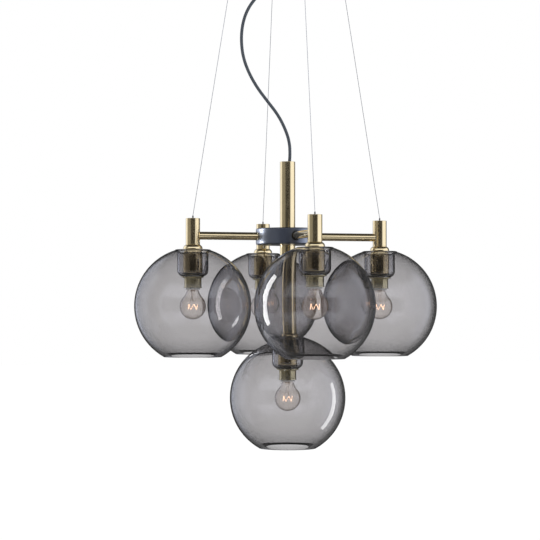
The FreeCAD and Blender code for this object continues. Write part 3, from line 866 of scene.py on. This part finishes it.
class PENDANT_OT_holders(bpy.types.Operator):
    """Turns the five holder caps, their lampholder inserts and gaskets"""

    bl_idname = "pendant.holders"
    bl_label = "Holders"

    def cap_outline(self, neck):
        step, shoulder = 0.8, 7.3
        across, down = CAP_RADIUS - neck, shoulder - step
        bend = (across**2 + down**2) / (2 * across)
        half = math.atan2(down, bend - across) / 2
        middle = (CAP_RADIUS - bend + bend * math.cos(half), bend * math.sin(half) - shoulder)
        inner = CAP_RADIUS - CAP_WALL
        curve = arc_through((neck, -step), middle, (CAP_RADIUS, -shoulder), 14)
        wall = [(CAP_RADIUS, z) for z in (-shoulder - 0.8, 1.2 - CAP_HEIGHT, 0.6 - CAP_HEIGHT)]
        skirt = [*wall, (CAP_RADIUS - 0.3, -CAP_HEIGHT), (inner, -CAP_HEIGHT)]
        inside = [(inner, -shoulder - 1.5), (neck - 2.5, -4.0)]
        nipple = [(3.4, -4.0), (3.4, 8.0), (NIPPLE_RADIUS, 8.0), (NIPPLE_RADIUS, 0)]
        return [(neck, 0), (neck, -step), *curve, *skirt, *inside, *nipple]

    def execute(self, context):
        segments = context.scene.pendant_sizes.segments
        insert_outline = rounded(
            [
                (1.5, -22),
                (13.4, -22),
                (15.4, -24),
                (15.4, -CAP_HEIGHT),
                (14.0, -CAP_HEIGHT),
                (14.0, -74.4, 0.3),
                (12.2, -74.4),
                (12.2, -78.2, 0.5),
                (9.5, -78.2, 0.5),
                (9.3, -71.0),
                (7.6, -69.5),
                (7.6, BULB_TIP + 1.5),
                (1.5, BULB_TIP + 1.5),
            ]
        )
        insert = lathe("insert", insert_outline, 64)
        seal_low = -CAP_HEIGHT - GASKET_THICKNESS
        seal_outline = [
            (RING_BORE, seal_low),
            (GASKET_RADIUS, seal_low, 0.5),
            (GASKET_RADIUS, -CAP_HEIGHT, 0.5),
            (RING_BORE, -CAP_HEIGHT),
        ]
        seal = lathe("seal", rounded(seal_outline), 64)
        ceramic = plastic("white_insert", (0.78, 0.78, 0.75), 0.28)
        for unit in UNITS:
            low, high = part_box("centre_tube" if unit == "lower" else "stem_right")
            neck = (high.y - low.y) / 2 / MM
            place = unit_place(unit)
            cap = lathe("cap", self.cap_outline(neck), segments)
            cap.transform(place)
            piece(f"cap_{unit}", cap, satin_brass(), "frame", [f"holder_cap_{unit}"])
            node = [f"lampholder_{unit}"]
            piece(f"insert_{unit}", placed(insert, place), ceramic, "frame", node)
        seals = joined("gaskets", [placed(seal, unit_place(unit)) for unit in UNITS])
        silicone = glass("clear_silicone", (0.8, 0.8, 0.78), 0.2, 0.35)
        piece("gaskets", seals, silicone, "frame", ["shade_gaskets"])
        return {"FINISHED"}


class PENDANT_OT_globes(bpy.types.Operator):
    """Blows the five smoked globes, each with its cup and ground mouth"""

    bl_idname = "pendant.globes"
    bl_label = "Glass globes"

    def execute(self, context):
        sizes = context.scene.pendant_sizes
        radius = sizes.globe_radius / MM
        wall = sizes.glass_wall / MM
        inside, inside_centre = radius - wall, GLOBE_CENTRE + BALL_LIFT
        cup_inside = CUP_RADIUS - CUP_WALL
        floor_top = CUP_UNDERSIDE + CUP_WALL + 0.4
        corner = CUP_CORNER - CUP_WALL
        bend = math.sqrt(0.5)
        mouth_out = 180 - math.degrees(math.acos((GLOBE_CENTRE - MOUTH_PLANE) / radius))
        mouth_in = 180 - math.degrees(math.acos((inside_centre - MOUTH_PLANE) / inside))
        roll_out = math.degrees(math.asin(ROLL_RADIUS / radius))
        roll_in = math.degrees(math.asin(ROLL_RADIUS / inside))
        outer = sphere_arc(radius, GLOBE_CENTRE, mouth_out - 0.25, roll_out, 1.5)
        inner = sphere_arc(inside, inside_centre, roll_in, mouth_in - 0.25, 1.5)
        crest_end = (cup_inside, CREST - 3.2)
        fold_start = (CUP_RADIUS, CREST - 6.5)
        cup_corner_end = (cup_inside - corner, floor_top)
        cup_corner_mid = (cup_inside - corner * (1 - bend), floor_top + corner * (1 - bend))
        foot_start = (CUP_RADIUS - CUP_CORNER, CUP_UNDERSIDE)
        foot_mid = (CUP_RADIUS - CUP_CORNER * (1 - bend), CUP_UNDERSIDE + CUP_CORNER * (1 - bend))
        foot_end = (CUP_RADIUS, CUP_UNDERSIDE + CUP_CORNER)
        outline = [
            *outer,
            *arc_through(outer[-1], (26.2, CREST), crest_end, 14),
            (cup_inside, (CREST + floor_top + corner) / 2),
            (cup_inside, floor_top + corner),
            *arc_through((cup_inside, floor_top + corner), cup_corner_mid, cup_corner_end, 12),
            (FLOOR_HOLE, floor_top),
            (FLOOR_HOLE, CUP_UNDERSIDE),
            foot_start,
            *arc_through(foot_start, foot_mid, foot_end, 14),
            (CUP_RADIUS, (foot_end[1] + fold_start[1]) / 2),
            fold_start,
            *arc_through(fold_start, (CUP_RADIUS + 1.2, CREST - 4.6), inner[0], 8),
            *inner[1:],
            (inner[-1][0] + 0.3, MOUTH_PLANE),
            (outer[0][0] - 0.3, MOUTH_PLANE),
        ]
        globe = lathe("globe", outline, 160, sharp=40)
        lengths = [math.dist(a, b) * MM for a, b in zip(outline, outline[1:])]
        cup = (sum(lengths[: len(outer)]), sum(lengths[: outline.index(inner[1])]), sum(lengths))
        smoke = glass("smoked_glass", tuple(context.scene.pendant_colours.glass), 0.035, edge=0.95, cup=cup)
        for unit in UNITS:
            data, node = placed(globe, unit_place(unit)), [f"glass_shade_{unit}"]
            piece(f"globe_{unit}", data, smoke, f"shade_{unit}", node)
        return {"FINISHED"}


class PENDANT_OT_shade_rings(bpy.types.Operator):
    """Rolls the five threaded brass rings that clamp the globes"""

    bl_idname = "pendant.shade_rings"
    bl_label = "Shade rings"

    def execute(self, context):
        segments = context.scene.pendant_sizes.segments
        flange, body, lip = 19.5, 14.75, 15.55
        outline = rounded(
            [
                (RING_BORE, RING_TOP),
                (flange, RING_TOP, 0.5),
                (flange, RING_TOP - 1.5, 0.6),
                (16.0, RING_TOP - 1.8, 0.5),
                (body, RING_TOP - 3.4, 1.0),
                (body, RING_END + 2.6, 0.6),
                (lip, RING_END + 1.9, 0.6),
                (lip, RING_END, 0.7),
                (RING_BORE, RING_END, 0.3),
            ]
        )
        shell = lathe("ring", outline, segments, sharp=50)
        brass = bright_brass()
        shell.materials.append(brass)
        thread = grown(
            "ring_thread",
            helix_tree(),
            brass,
            {"Turns": 5.5},
            {"Radius": body - 0.2, "Rise": 11.0, "Start": RING_END + 3.6, "Thickness": 0.45},
        )
        ring = joined("shade_ring", [shell, thread])
        for unit in UNITS:
            data, node = placed(ring, unit_place(unit)), [f"shade_ring_{unit}"]
            piece(f"ring_{unit}", data, brass, f"ring_{unit}", node)
        return {"FINISHED"}


class PENDANT_OT_bulbs(bpy.types.Operator):
    """Makes the five clear golf-ball bulbs: envelope, screw cap, glass foot and glowing zigzag"""

    bl_idname = "pendant.bulbs"
    bl_label = "Bulbs"

    def envelope(self):
        wall = 0.8
        inner = BULB_RADIUS - wall
        outer_arc = sphere_arc(BULB_RADIUS, BULB_CENTRE, 50, 180, 3)
        inner_arc = sphere_arc(inner, BULB_CENTRE, 180, 50, 3)
        neck = arc_through((10.6, NECK_END), (13.4, -87.6), outer_arc[0], 8)
        throat = arc_through(inner_arc[-1], (13.4 - wall, -87.9), (10.6 - wall, NECK_END - 0.3), 8)
        seat = SKIRT_END + 1.5
        return [
            (8.1, seat),
            (8.1, SKIRT_END - 0.6),
            (9.4, SKIRT_END - 2.6),
            (10.6, NECK_END),
            *neck[:-1],
            *outer_arc,
            *inner_arc,
            *throat,
            (8.7, SKIRT_END - 2.9),
            (7.3, SKIRT_END - 0.9),
            (7.3, seat),
        ]

    def cap(self, nickel, black):
        shell_radius, shell_top, shell_end, skirt = 6.95, -55.2, -72.0, 8.5
        outline = rounded(
            [
                (3.2, shell_top, 0.3),
                (shell_radius - 0.6, shell_top, 0.5),
                (shell_radius - 0.5, shell_end, 0.4),
                (skirt, shell_end - 2.0, 0.6),
                (skirt, SKIRT_END, 0.3),
                (skirt - 0.38, SKIRT_END),
                (skirt - 0.38, shell_end - 2.3),
                (shell_radius - 0.9, shell_end - 0.2),
                (shell_radius - 0.9, shell_top - 0.4),
                (3.2, shell_top - 0.4),
            ]
        )
        shell = lathe("cap_shell", outline, 72)
        shell.materials.append(nickel)
        sizes = {"Radius": 6.25, "Rise": 14.1, "Start": shell_end + 1.2, "Thickness": 0.7}
        thread = grown("cap_thread", helix_tree(), nickel, {"Turns": 5.0}, sizes)
        collar = [(0, shell_top), (5.2, shell_top, 0.3), (3.0, BULB_TIP - 1.2, 0.3), (0, BULB_TIP - 1.2)]
        insulator = lathe("cap_insulator", rounded(collar), 48, closed=False)
        insulator.materials.append(black)
        tip = [(0, BULB_TIP - 1.2), (2.4, BULB_TIP - 1.2, 0.2), (1.8, BULB_TIP, 0.4), (0, BULB_TIP)]
        contact = lathe("cap_contact", rounded(tip), 32, closed=False)
        contact.materials.append(nickel)
        return joined("bulb_cap", [shell, thread, insulator, contact])

    def zigzag(self):
        """The coil's corners, hung round the foot as a garland."""
        count, radius, low, high = 8, 8.0, BULB_CENTRE - 5.5, BULB_CENTRE + 3.5
        corners = []
        for step in range(count + 1):
            angle = math.radians(-150 + 300 * step / count)
            height = low if step % 2 else high
            corners.append(Vector((radius * math.sin(angle), -radius * math.cos(angle), height)) * MM)
        return corners

    def execute(self, context):
        bulb = lathe("bulb", self.envelope(), 72, sharp=60)
        clear = glass("bulb_glass", (0.97, 0.965, 0.955), 0.0, edge=0.9)
        # Painted glow: the bulb's glass gives off a faint warm light of its own, standing in for the
        # filament's light seen through it.
        shader = clear.node_tree.nodes["Principled BSDF"]
        shader.inputs["Emission Color"].default_value = (1.0, 0.66, 0.42, 1)
        shader.inputs["Emission Strength"].default_value = 0.02
        nickel = plated_steel("nickel_cap", (0.72, 0.72, 0.70), 0.22)
        black = plastic("cap_insulation", (0.03, 0.03, 0.035), 0.25)
        cap = self.cap(nickel, black)
        corners = self.zigzag()
        coil_path = []
        for a, b in zip(corners, corners[1:]):
            coil_path += [a.lerp(b, i / 12) for i in range(12)]
        coil_path.append(corners[-1])
        coil = sweep("coil", coil_path, lambda rounds, along: np.full(rounds.shape, 0.28 * MM), 8)
        foot_outline = [
            (0, SKIRT_END + 3),
            (5.5, SKIRT_END + 3),
            *arc_through((5.5, SKIRT_END + 3), (3.4, NECK_END - 1), (2.2, NECK_END - 6), 8),
            (1.7, NECK_END - 14),
            *arc_through((1.7, NECK_END - 14), (1.2, NECK_END - 15.5), (0, NECK_END - 16), 5),
        ]
        foot = lathe("foot", foot_outline, 32, closed=False, sharp=60)
        foot.materials.append(clear)
        tungsten = plated_steel("support_wire", (0.55, 0.54, 0.52), 0.25)
        parts = [foot]
        for end in (corners[0], corners[-1]):
            start = Vector((0.24 * end.x, 0.24 * end.y, (NECK_END - 5) * MM))
            knee = start.lerp(end, 0.55) + Vector((0, 0, 1.2 * MM))
            parts.append(self.support(start, knee, end, 0.3, tungsten))
        for top in corners[2:-2:2]:
            start = Vector((0.12 * top.x, 0.12 * top.y, (NECK_END - 14.5) * MM))
            knee = start.lerp(top, 0.7) + Vector((0, 0, 0.5 * MM))
            parts.append(self.support(start, knee, top, 0.16, tungsten))
        mount = joined("mount", parts)
        glow = glowing_wire()
        for unit in UNITS:
            place, body = unit_place(unit), f"bulb_{unit}"
            node = [f"bulb_glass_{unit}"]
            piece(f"bulb_envelope_{unit}", placed(bulb, place), clear, body, node)
            piece(f"bulb_base_{unit}", placed(cap, place), None, body, [f"bulb_cap_{unit}"])
            piece(f"bulb_mount_{unit}", placed(mount, place), None, body)
            piece(f"coil_{unit}", placed(coil, place), glow, body, [f"filament_{unit}"])
        return {"FINISHED"}

    def support(self, start, knee, end, radius, material):
        points = []
        for i in range(17):
            t = i / 16
            points.append(start * (1 - t) ** 2 + knee * 2 * t * (1 - t) + end * t * t)
        data = sweep("support", points, lambda rounds, along: np.full(rounds.shape, radius * MM), 6)
        data.materials.append(material)
        return data


def spline_points(name, route):
    """Points along the smooth spline that a route's points control."""
    curve = bpy.data.curves.new(name, "CURVE")
    curve.dimensions = "3D"
    spline = curve.splines.new("NURBS")
    spline.points.add(len(route) - 1)
    for control, place in zip(spline.points, route):
        control.co = (*place, 1)
    spline.order_u = 3
    spline.use_endpoint_u = True
    spline.resolution_u = 24
    thing = show(name, curve)
    return [tuple(v.co) for v in plain(thing).vertices]


def spaced(points, step):
    """The line again, with points a step apart."""
    points = np.array(points, float)
    along = np.concatenate([[0], np.cumsum(np.linalg.norm(np.diff(points, axis=0), axis=1))])
    at = np.linspace(0, along[-1], max(2, round(along[-1] / step)))
    return np.stack([np.interp(at, along, points[:, k]) for k in range(3)], axis=1)


class PENDANT_OT_cord(bpy.types.Operator):
    """Braids the textile cord from the tube to the canopy, with its grip"""

    bl_idname = "pendant.cord"
    bl_label = "Cord"

    def execute(self, context):
        sizes = context.scene.pendant_sizes
        radius, pitch = sizes.cord_diameter / 2, sizes.braid_pitch
        across = Vector((math.cos(CORD_PLANE), math.sin(CORD_PLANE), 0))
        route = [across * s * MM + Vector((0, 0, z * MM)) for s, z in CORD_ROUTE]
        path = spaced(spline_points("cord_line", route), pitch / 5)
        relief = 0.05 * radius

        def braid(rounds, along):
            angle, climb = FULL_TURN * rounds * BRAID_STRANDS, FULL_TURN * along / pitch
            return radius + relief * (np.sin(angle + climb) * np.sin(angle - climb) - 0.6)

        data = sweep("cord", path, braid, 40)
        cord = piece("textile_cord", data, textile(), "frame", ["mains_cord"])
        grip = self.grip()
        return {"FINISHED"}

    def grip(self):
        black = black_plastic()
        low, plate = CANOPY_UNDERSIDE - 12, CANOPY_UNDERSIDE + 1.5
        outline = rounded(
            [
                (2.75, low, 0.3),
                (4.6, low, 0.6),
                (6.4, low + 4.5, 0.8),
                (6.6, low + 5.5, 0.3),
                (6.6, CANOPY_UNDERSIDE),
                (5.0, CANOPY_UNDERSIDE),
                (5.0, plate),
                (8.0, plate),
                (8.0, plate + 3),
                (5.0, plate + 3),
                (5.0, CANOPY_UNDERSIDE + 9),
                (2.75, CANOPY_UNDERSIDE + 9),
            ]
        )
        shell = lathe("grip", outline, 64)
        shell.materials.append(black)
        ribs = grown(
            "grip_ribs",
            ring_of_ribs_tree(),
            black,
            {"Count": 24},
            {"Radius": 6.5, "Length": 5.6, "Thickness": 0.45, "Height": CANOPY_UNDERSIDE - 3.2},
        )
        gland = joined("gland", [shell, ribs])
        return piece("cord_gland", gland, black, "frame", ["cord_grip"])


class PENDANT_OT_wires(bpy.types.Operator):
    """Twists the four steel wires, with their ferrules and canopy grippers"""

    bl_idname = "pendant.wires"
    bl_label = "Wires"

    def ferrule_outline(self):
        top = 4.6
        foot = [(0, -5.5), (3.0, -5.5, 0.3), (3.0, -2.5), (1.3, -2.5)]
        return rounded([*foot, (1.3, top - 0.8, 0.3), (0.8, top, 0.2), (0, top)])

    def gripper_outline(self):
        low, high = -9.0, 12.0
        return rounded(
            [
                (0, low),
                (2.2, low, 0.4),
                (3.4, low + 3.0, 0.5),
                (3.8, low + 3.6, 0.3),
                (3.8, 0),
                (3.0, 0),
                (3.0, 1.5),
                (5.5, 1.5, 0.2),
                (5.5, 5.0, 0.2),
                (3.0, 5.0),
                (3.0, high, 0.4),
                (0, high),
            ]
        )

    def execute(self, context):
        sizes = context.scene.pendant_sizes
        radius, lay = sizes.wire_diameter / 2, sizes.wire_lay
        steel = plated_steel("wire_steel", (0.42, 0.42, 0.43), 0.3)
        brass = satin_brass()
        stem_low, stem_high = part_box("stem_right")
        reach = (stem_low.x + stem_high.x) / 2
        foot_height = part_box("wire_nipples")[1].z
        head_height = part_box("wire_grippers")[0].z
        head_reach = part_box("wire_grippers")[1].x - 5.5 * MM

        def strands(rounds, along):
            turn = FULL_TURN * (rounds - along / lay)
            return radius * (0.84 + 0.16 * np.abs(np.cos(3 * turn)))

        ferrule = lathe("ferrule", self.ferrule_outline(), 32, closed=False)
        gripper = lathe("gripper", self.gripper_outline(), 48, closed=False)
        gripper.materials.append(brass)
        ribs = grown(
            "gripper_ribs",
            ring_of_ribs_tree(),
            brass,
            {"Count": 20},
            {"Radius": 3.75, "Length": 3.6, "Thickness": 0.25, "Height": -2.6},
        )
        gripper = joined("gripper", [gripper, ribs])
        ferrules, grippers = [], []
        for side in SIDES:
            turn = side_turn(side)
            foot = turn @ Vector((reach, 0, foot_height))
            head = turn @ Vector((head_reach, 0, head_height))
            path = spaced([foot, head], lay / 14)
            data = sweep("wire", path, strands, 18)
            wire = piece(f"wire_{side}", data, steel, "frame", [f"steel_wire_{side}"])
            below = Matrix.Translation((reach, 0, stem_high.z))
            above = Matrix.Translation((head_reach, 0, CANOPY_UNDERSIDE * MM))
            ferrules.append(placed(ferrule, turn @ below))
            grippers.append(placed(gripper, turn @ above))
        dark = plated_steel("ferrule_steel", (0.2, 0.2, 0.2), 0.35)
        low_ends, high_ends = joined("ferrules", ferrules), joined("grippers", grippers)
        piece("wire_ferrules", low_ends, dark, "frame", ["wire_nipples"])
        piece("height_grippers", high_ends, brass, "frame", ["wire_grippers"])
        return {"FINISHED"}


class PENDANT_OT_canopy(bpy.types.Operator):
    """Spins the ceiling canopy and finishes what it covers"""

    bl_idname = "pendant.canopy"
    bl_label = "Canopy"

    def execute(self, context):
        radius, _, end = turned_box("ceiling_canopy")
        wall = CANOPY_WALL
        outline = rounded(
            [
                (5.0, end, 0.3),
                (radius, end, 4.0),
                (radius, 0, 0.4),
                (radius - wall, 0, 0.4),
                (radius - wall, end + wall, 2.5),
                (5.0, end + wall),
            ],
            8,
        )
        canopy = lathe("canopy", outline, 192)
        piece("canopy_cup", canopy, slate_paint(), "frame", ["ceiling_canopy"])
        zinc = plated_steel("zinc_plate", (0.6, 0.61, 0.62), 0.35)
        ivory = plastic("terminal_plastic", (0.75, 0.74, 0.7), 0.4)
        covered = {"ceiling_bracket": zinc, "canopy_screws": zinc, "terminal_block": ivory}
        for name, material in covered.items():
            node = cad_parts[name]
            node.data.materials.clear()
            node.data.materials.append(material)
        return {"FINISHED"}


# ---- Stage ----


def sky():
    """A white studio: bright all round for what is seen directly or through glass, and for gloss a dark
    camera side with softboxes left and right."""
    world = bpy.data.worlds.new("studio")
    bpy.context.scene.world = world
    world.use_nodes = True
    world.cycles.sampling_method = "NONE"
    g = Graph(world.node_tree)
    place = g.add("ShaderNodeTexCoord")
    parts = g.add("ShaderNodeSeparateXYZ")
    turned = g.add("ShaderNodeMapping", vector_type="POINT")
    turned.inputs["Rotation"].default_value = (0, 0, -CAMERA_SIDE)
    g.link(place, "Generated", turned, "Vector")
    g.link(turned, "Vector", parts, 0)
    # The ramp's middle is the camera's side, and its two ends meet behind the lamp
    front = g.math("MULTIPLY", (parts, "Y"), -1.0)
    angle = g.math("ARCTAN2", (parts, "X"), front)
    share = g.math("MULTIPLY_ADD", angle, 1 / FULL_TURN, 0.5)
    ring = g.add("ShaderNodeValToRGB")
    g.link(*share, ring, "Fac")
    stops = [
        (-180, 0.12),
        (-158, 0.14),
        (-146, 1.1),
        (-106, 1.3),
        (-88, 0.34),
        (-38, 0.27),
        (-28, 0.045),
        (36, 0.05),
        (52, 1.3),
        (112, 1.25),
        (126, 0.16),
        (180, 0.12),
    ]
    ramp = ring.color_ramp
    while len(ramp.elements) < len(stops):
        ramp.elements.new(0.5)
    for element, (degrees, level) in zip(ramp.elements, stops):
        element.position = degrees / 360 + 0.5
        cool = (1, 1.05, 1.2) if level > 1 else (1, 1, 1)
        element.color = (*(level * c for c in cool), 1)
    boom = g.add("ShaderNodeMapRange", {"From Min": 0.2, "From Max": 0.28})
    g.link(*g.math("ABSOLUTE", (parts, "Z")), boom, "Value")
    facing = g.add("ShaderNodeMapRange", {"From Min": 0.35, "From Max": 0.5})
    g.link(*front, facing, "Value")
    with_boom = g.mix(None, (1.4, 1.45, 1.6))
    g.link(*g.math("MULTIPLY", (boom, "Result"), (facing, "Result")), with_boom, 0)
    g.link(ring, "Color", with_boom, "A")
    above = g.add("ShaderNodeMapRange", {"From Min": 0.55, "From Max": 0.72})
    g.link(parts, "Z", above, "Value")
    with_roof = g.mix(None, (0.06, 0.06, 0.06))
    g.link(above, "Result", with_roof, 0)
    g.link(with_boom, "Result", with_roof, "A")
    below = g.add("ShaderNodeMapRange", {"From Min": -0.15, "From Max": -0.7})
    g.link(parts, "Z", below, "Value")
    with_floor = g.mix(None, (0.28, 0.28, 0.28))
    g.link(below, "Result", with_floor, 0)
    g.link(with_roof, "Result", with_floor, "A")
    rays = g.add("ShaderNodeLightPath")
    straight = g.math("LESS_THAN", (rays, "Glossy Depth"), 0.5)
    through = g.math("MULTIPLY", (rays, "Is Transmission Ray"), straight)
    seen = g.math("MAXIMUM", (rays, "Is Camera Ray"), through)
    even = g.add("ShaderNodeBackground", {"Color": (0.9, 0.9, 0.92, 1), "Strength": 0.75})
    mirrored = g.math("SUBTRACT", (rays, "Is Singular Ray"), (rays, "Is Transmission Ray"), clamp=True)
    level = g.math("MULTIPLY_ADD", mirrored, -0.65, 1.0)
    gloss = g.add("ShaderNodeBackground")
    g.link(*level, gloss, "Strength")
    g.link(with_floor, "Result", gloss, "Color")
    white = g.add("ShaderNodeBackground", {"Color": (1, 1, 1, 1), "Strength": 1.0})
    first = g.add("ShaderNodeMixShader")
    g.link(rays, "Is Glossy Ray", first, 0)
    g.link(even, 0, first, 1)
    g.link(gloss, 0, first, 2)
    second = g.add("ShaderNodeMixShader")
    g.link(*seen, second, 0)
    g.link(first, 0, second, 1)
    g.link(white, 0, second, 2)
    out = g.add("ShaderNodeOutputWorld")
    g.link(second, 0, out, "Surface")


def floor():
    """A plain white floor far below the lamp that keeps a soft shadow."""
    data = bpy.data.meshes.new("studio_floor")
    half = 40.0
    corners = [(-half, -half), (half, -half), (half, half), (-half, half)]
    data.from_pydata([(x, y, FLOOR_HEIGHT) for x, y in corners], [], [(0, 1, 2, 3)])
    material = bpy.data.materials.new("studio_white")
    material.use_nodes = True
    g = Graph(material.node_tree)
    matt = g.add("ShaderNodeBsdfDiffuse", {"Color": (0.9, 0.9, 0.9, 1)})
    glow = g.add("ShaderNodeEmission", {"Color": (1, 1, 1, 1), "Strength": 1.1})
    rays = g.add("ShaderNodeLightPath")
    share = g.math("MULTIPLY", (rays, "Is Camera Ray"), 0.85)
    blend = g.add("ShaderNodeMixShader")
    g.link(*share, blend, 0)
    g.link(matt, 0, blend, 1)
    g.link(glow, 0, blend, 2)
    out = g.add("ShaderNodeOutputMaterial")
    g.link(blend, 0, out, "Surface")
    ground = show("studio_floor", data, material)
    # Gloss and glass see the world's own white in its place
    ground.visible_glossy = ground.visible_transmission = False


def softbox(name, side, height, distance, width, tall, power, pieces):
    """A tall soft lamp aimed at the globes, at an angle round them from the camera, that lights only some
    pieces."""
    light = bpy.data.lights.new(name, "AREA")
    light.shape = "RECTANGLE"
    light.size, light.size_y = width, tall
    light.energy = power
    angle = CAMERA_SIDE + math.radians(side)
    place = Vector((math.sin(angle) * distance, -math.cos(angle) * distance, height))
    lamp = bpy.data.objects.new(name, light)
    lamp.location = place
    aim = Vector((0, 0, CAMERA_HEIGHT)) - place
    lamp.rotation_euler = aim.to_track_quat("-Z", "Y").to_euler()
    bpy.context.scene.collection.objects.link(lamp)
    lamp.visible_camera = lamp.visible_transmission = False
    lit = bpy.data.collections.new(f"{name}_reach")
    for name in pieces:
        lit.objects.link(bpy.data.objects[name])
    lamp.light_linking.receiver_collection = lit


class PENDANT_OT_stage(bpy.types.Operator):
    """Sets the white studio and the camera"""

    bl_idname = "pendant.stage"
    bl_label = "Stage"

    def execute(self, context):
        scene = context.scene
        scene.view_settings.view_transform = "Standard"
        sky()
        floor()
        lens = bpy.data.cameras.new("camera")
        lens.lens = CAMERA_LENS
        lens.sensor_width = 36
        lens.clip_end = 200
        camera = bpy.data.objects.new("camera", lens)
        away = Vector((math.sin(CAMERA_SIDE), -math.cos(CAMERA_SIDE), 0))
        camera.location = away * CAMERA_DISTANCE + Vector((0, 0, CAMERA_HEIGHT))
        camera.rotation_mode = "XYZ"
        camera.rotation_euler = (math.pi / 2 + CAMERA_PITCH, 0, CAMERA_SIDE + CAMERA_YAW)
        scene.collection.objects.link(camera)
        scene.camera = camera
        return {"FINISHED"}


class PENDANT_OT_lamps(bpy.types.Operator):
    """Hangs the softboxes: two for the paint, cord and floor, and two for the streaks on the glass"""

    bl_idname = "pendant.lamps"
    bl_label = "Lamps"

    def execute(self, context):
        painted = ["studio_floor", "hub_shell", "hub_lid", "canopy_cup"]
        softbox("softbox_left", -108, -0.55, 2.2, 0.5, 2.4, 75, painted)
        dark = ["textile_cord", "cord_gland", "cord_bush"]
        softbox("softbox_right", 70, -0.55, 2.2, 0.5, 2.4, 8, [*painted, *dark])
        softbox("streak_left", -106, -0.37, 2.2, 0.6, 2.5, 48, ["globe_front", "globe_back"])
        softbox("streak_right", 102, -1.05, 1.2, 0.24, 1.4, 6, ["globe_left", "globe_lower"])
        return {"FINISHED"}


class PENDANT_PT_panel(bpy.types.Panel):
    """Lists the pendant's builders and their settings"""

    bl_idname = "PENDANT_PT_panel"
    bl_label = "Cluster Pendant"
    bl_space_type = "VIEW_3D"
    bl_region_type = "UI"
    bl_category = "Pendant"

    def draw(self, context):
        for group in (context.scene.pendant_sizes, context.scene.pendant_colours):
            box = self.layout.box()
            for name in group.__annotations__:
                box.prop(group, name)
        for operator in OPERATORS:
            self.layout.operator(operator.bl_idname)


OPERATORS = [
    PENDANT_OT_stage,
    PENDANT_OT_cord,
    PENDANT_OT_wires,
    PENDANT_OT_arms,
    PENDANT_OT_centre_tube,
    PENDANT_OT_hub,
    PENDANT_OT_holders,
    PENDANT_OT_globes,
    PENDANT_OT_shade_rings,
    PENDANT_OT_bulbs,
    PENDANT_OT_canopy,
    PENDANT_OT_lamps,
]
CLASSES = [PendantSizes, PendantColours, *OPERATORS, PENDANT_PT_panel]


def register():
    for cls in CLASSES:
        bpy.utils.register_class(cls)
    bpy.types.Scene.pendant_sizes = PointerProperty(type=PendantSizes)
    bpy.types.Scene.pendant_colours = PointerProperty(type=PendantColours)


def unregister():
    del bpy.types.Scene.pendant_colours
    del bpy.types.Scene.pendant_sizes
    for cls in reversed(CLASSES):
        bpy.utils.unregister_class(cls)


def main():
    register()
    for operator in OPERATORS:
        group, name = operator.bl_idname.split(".")
        getattr(getattr(bpy.ops, group), name)()


if __name__ == "__main__":
    main()
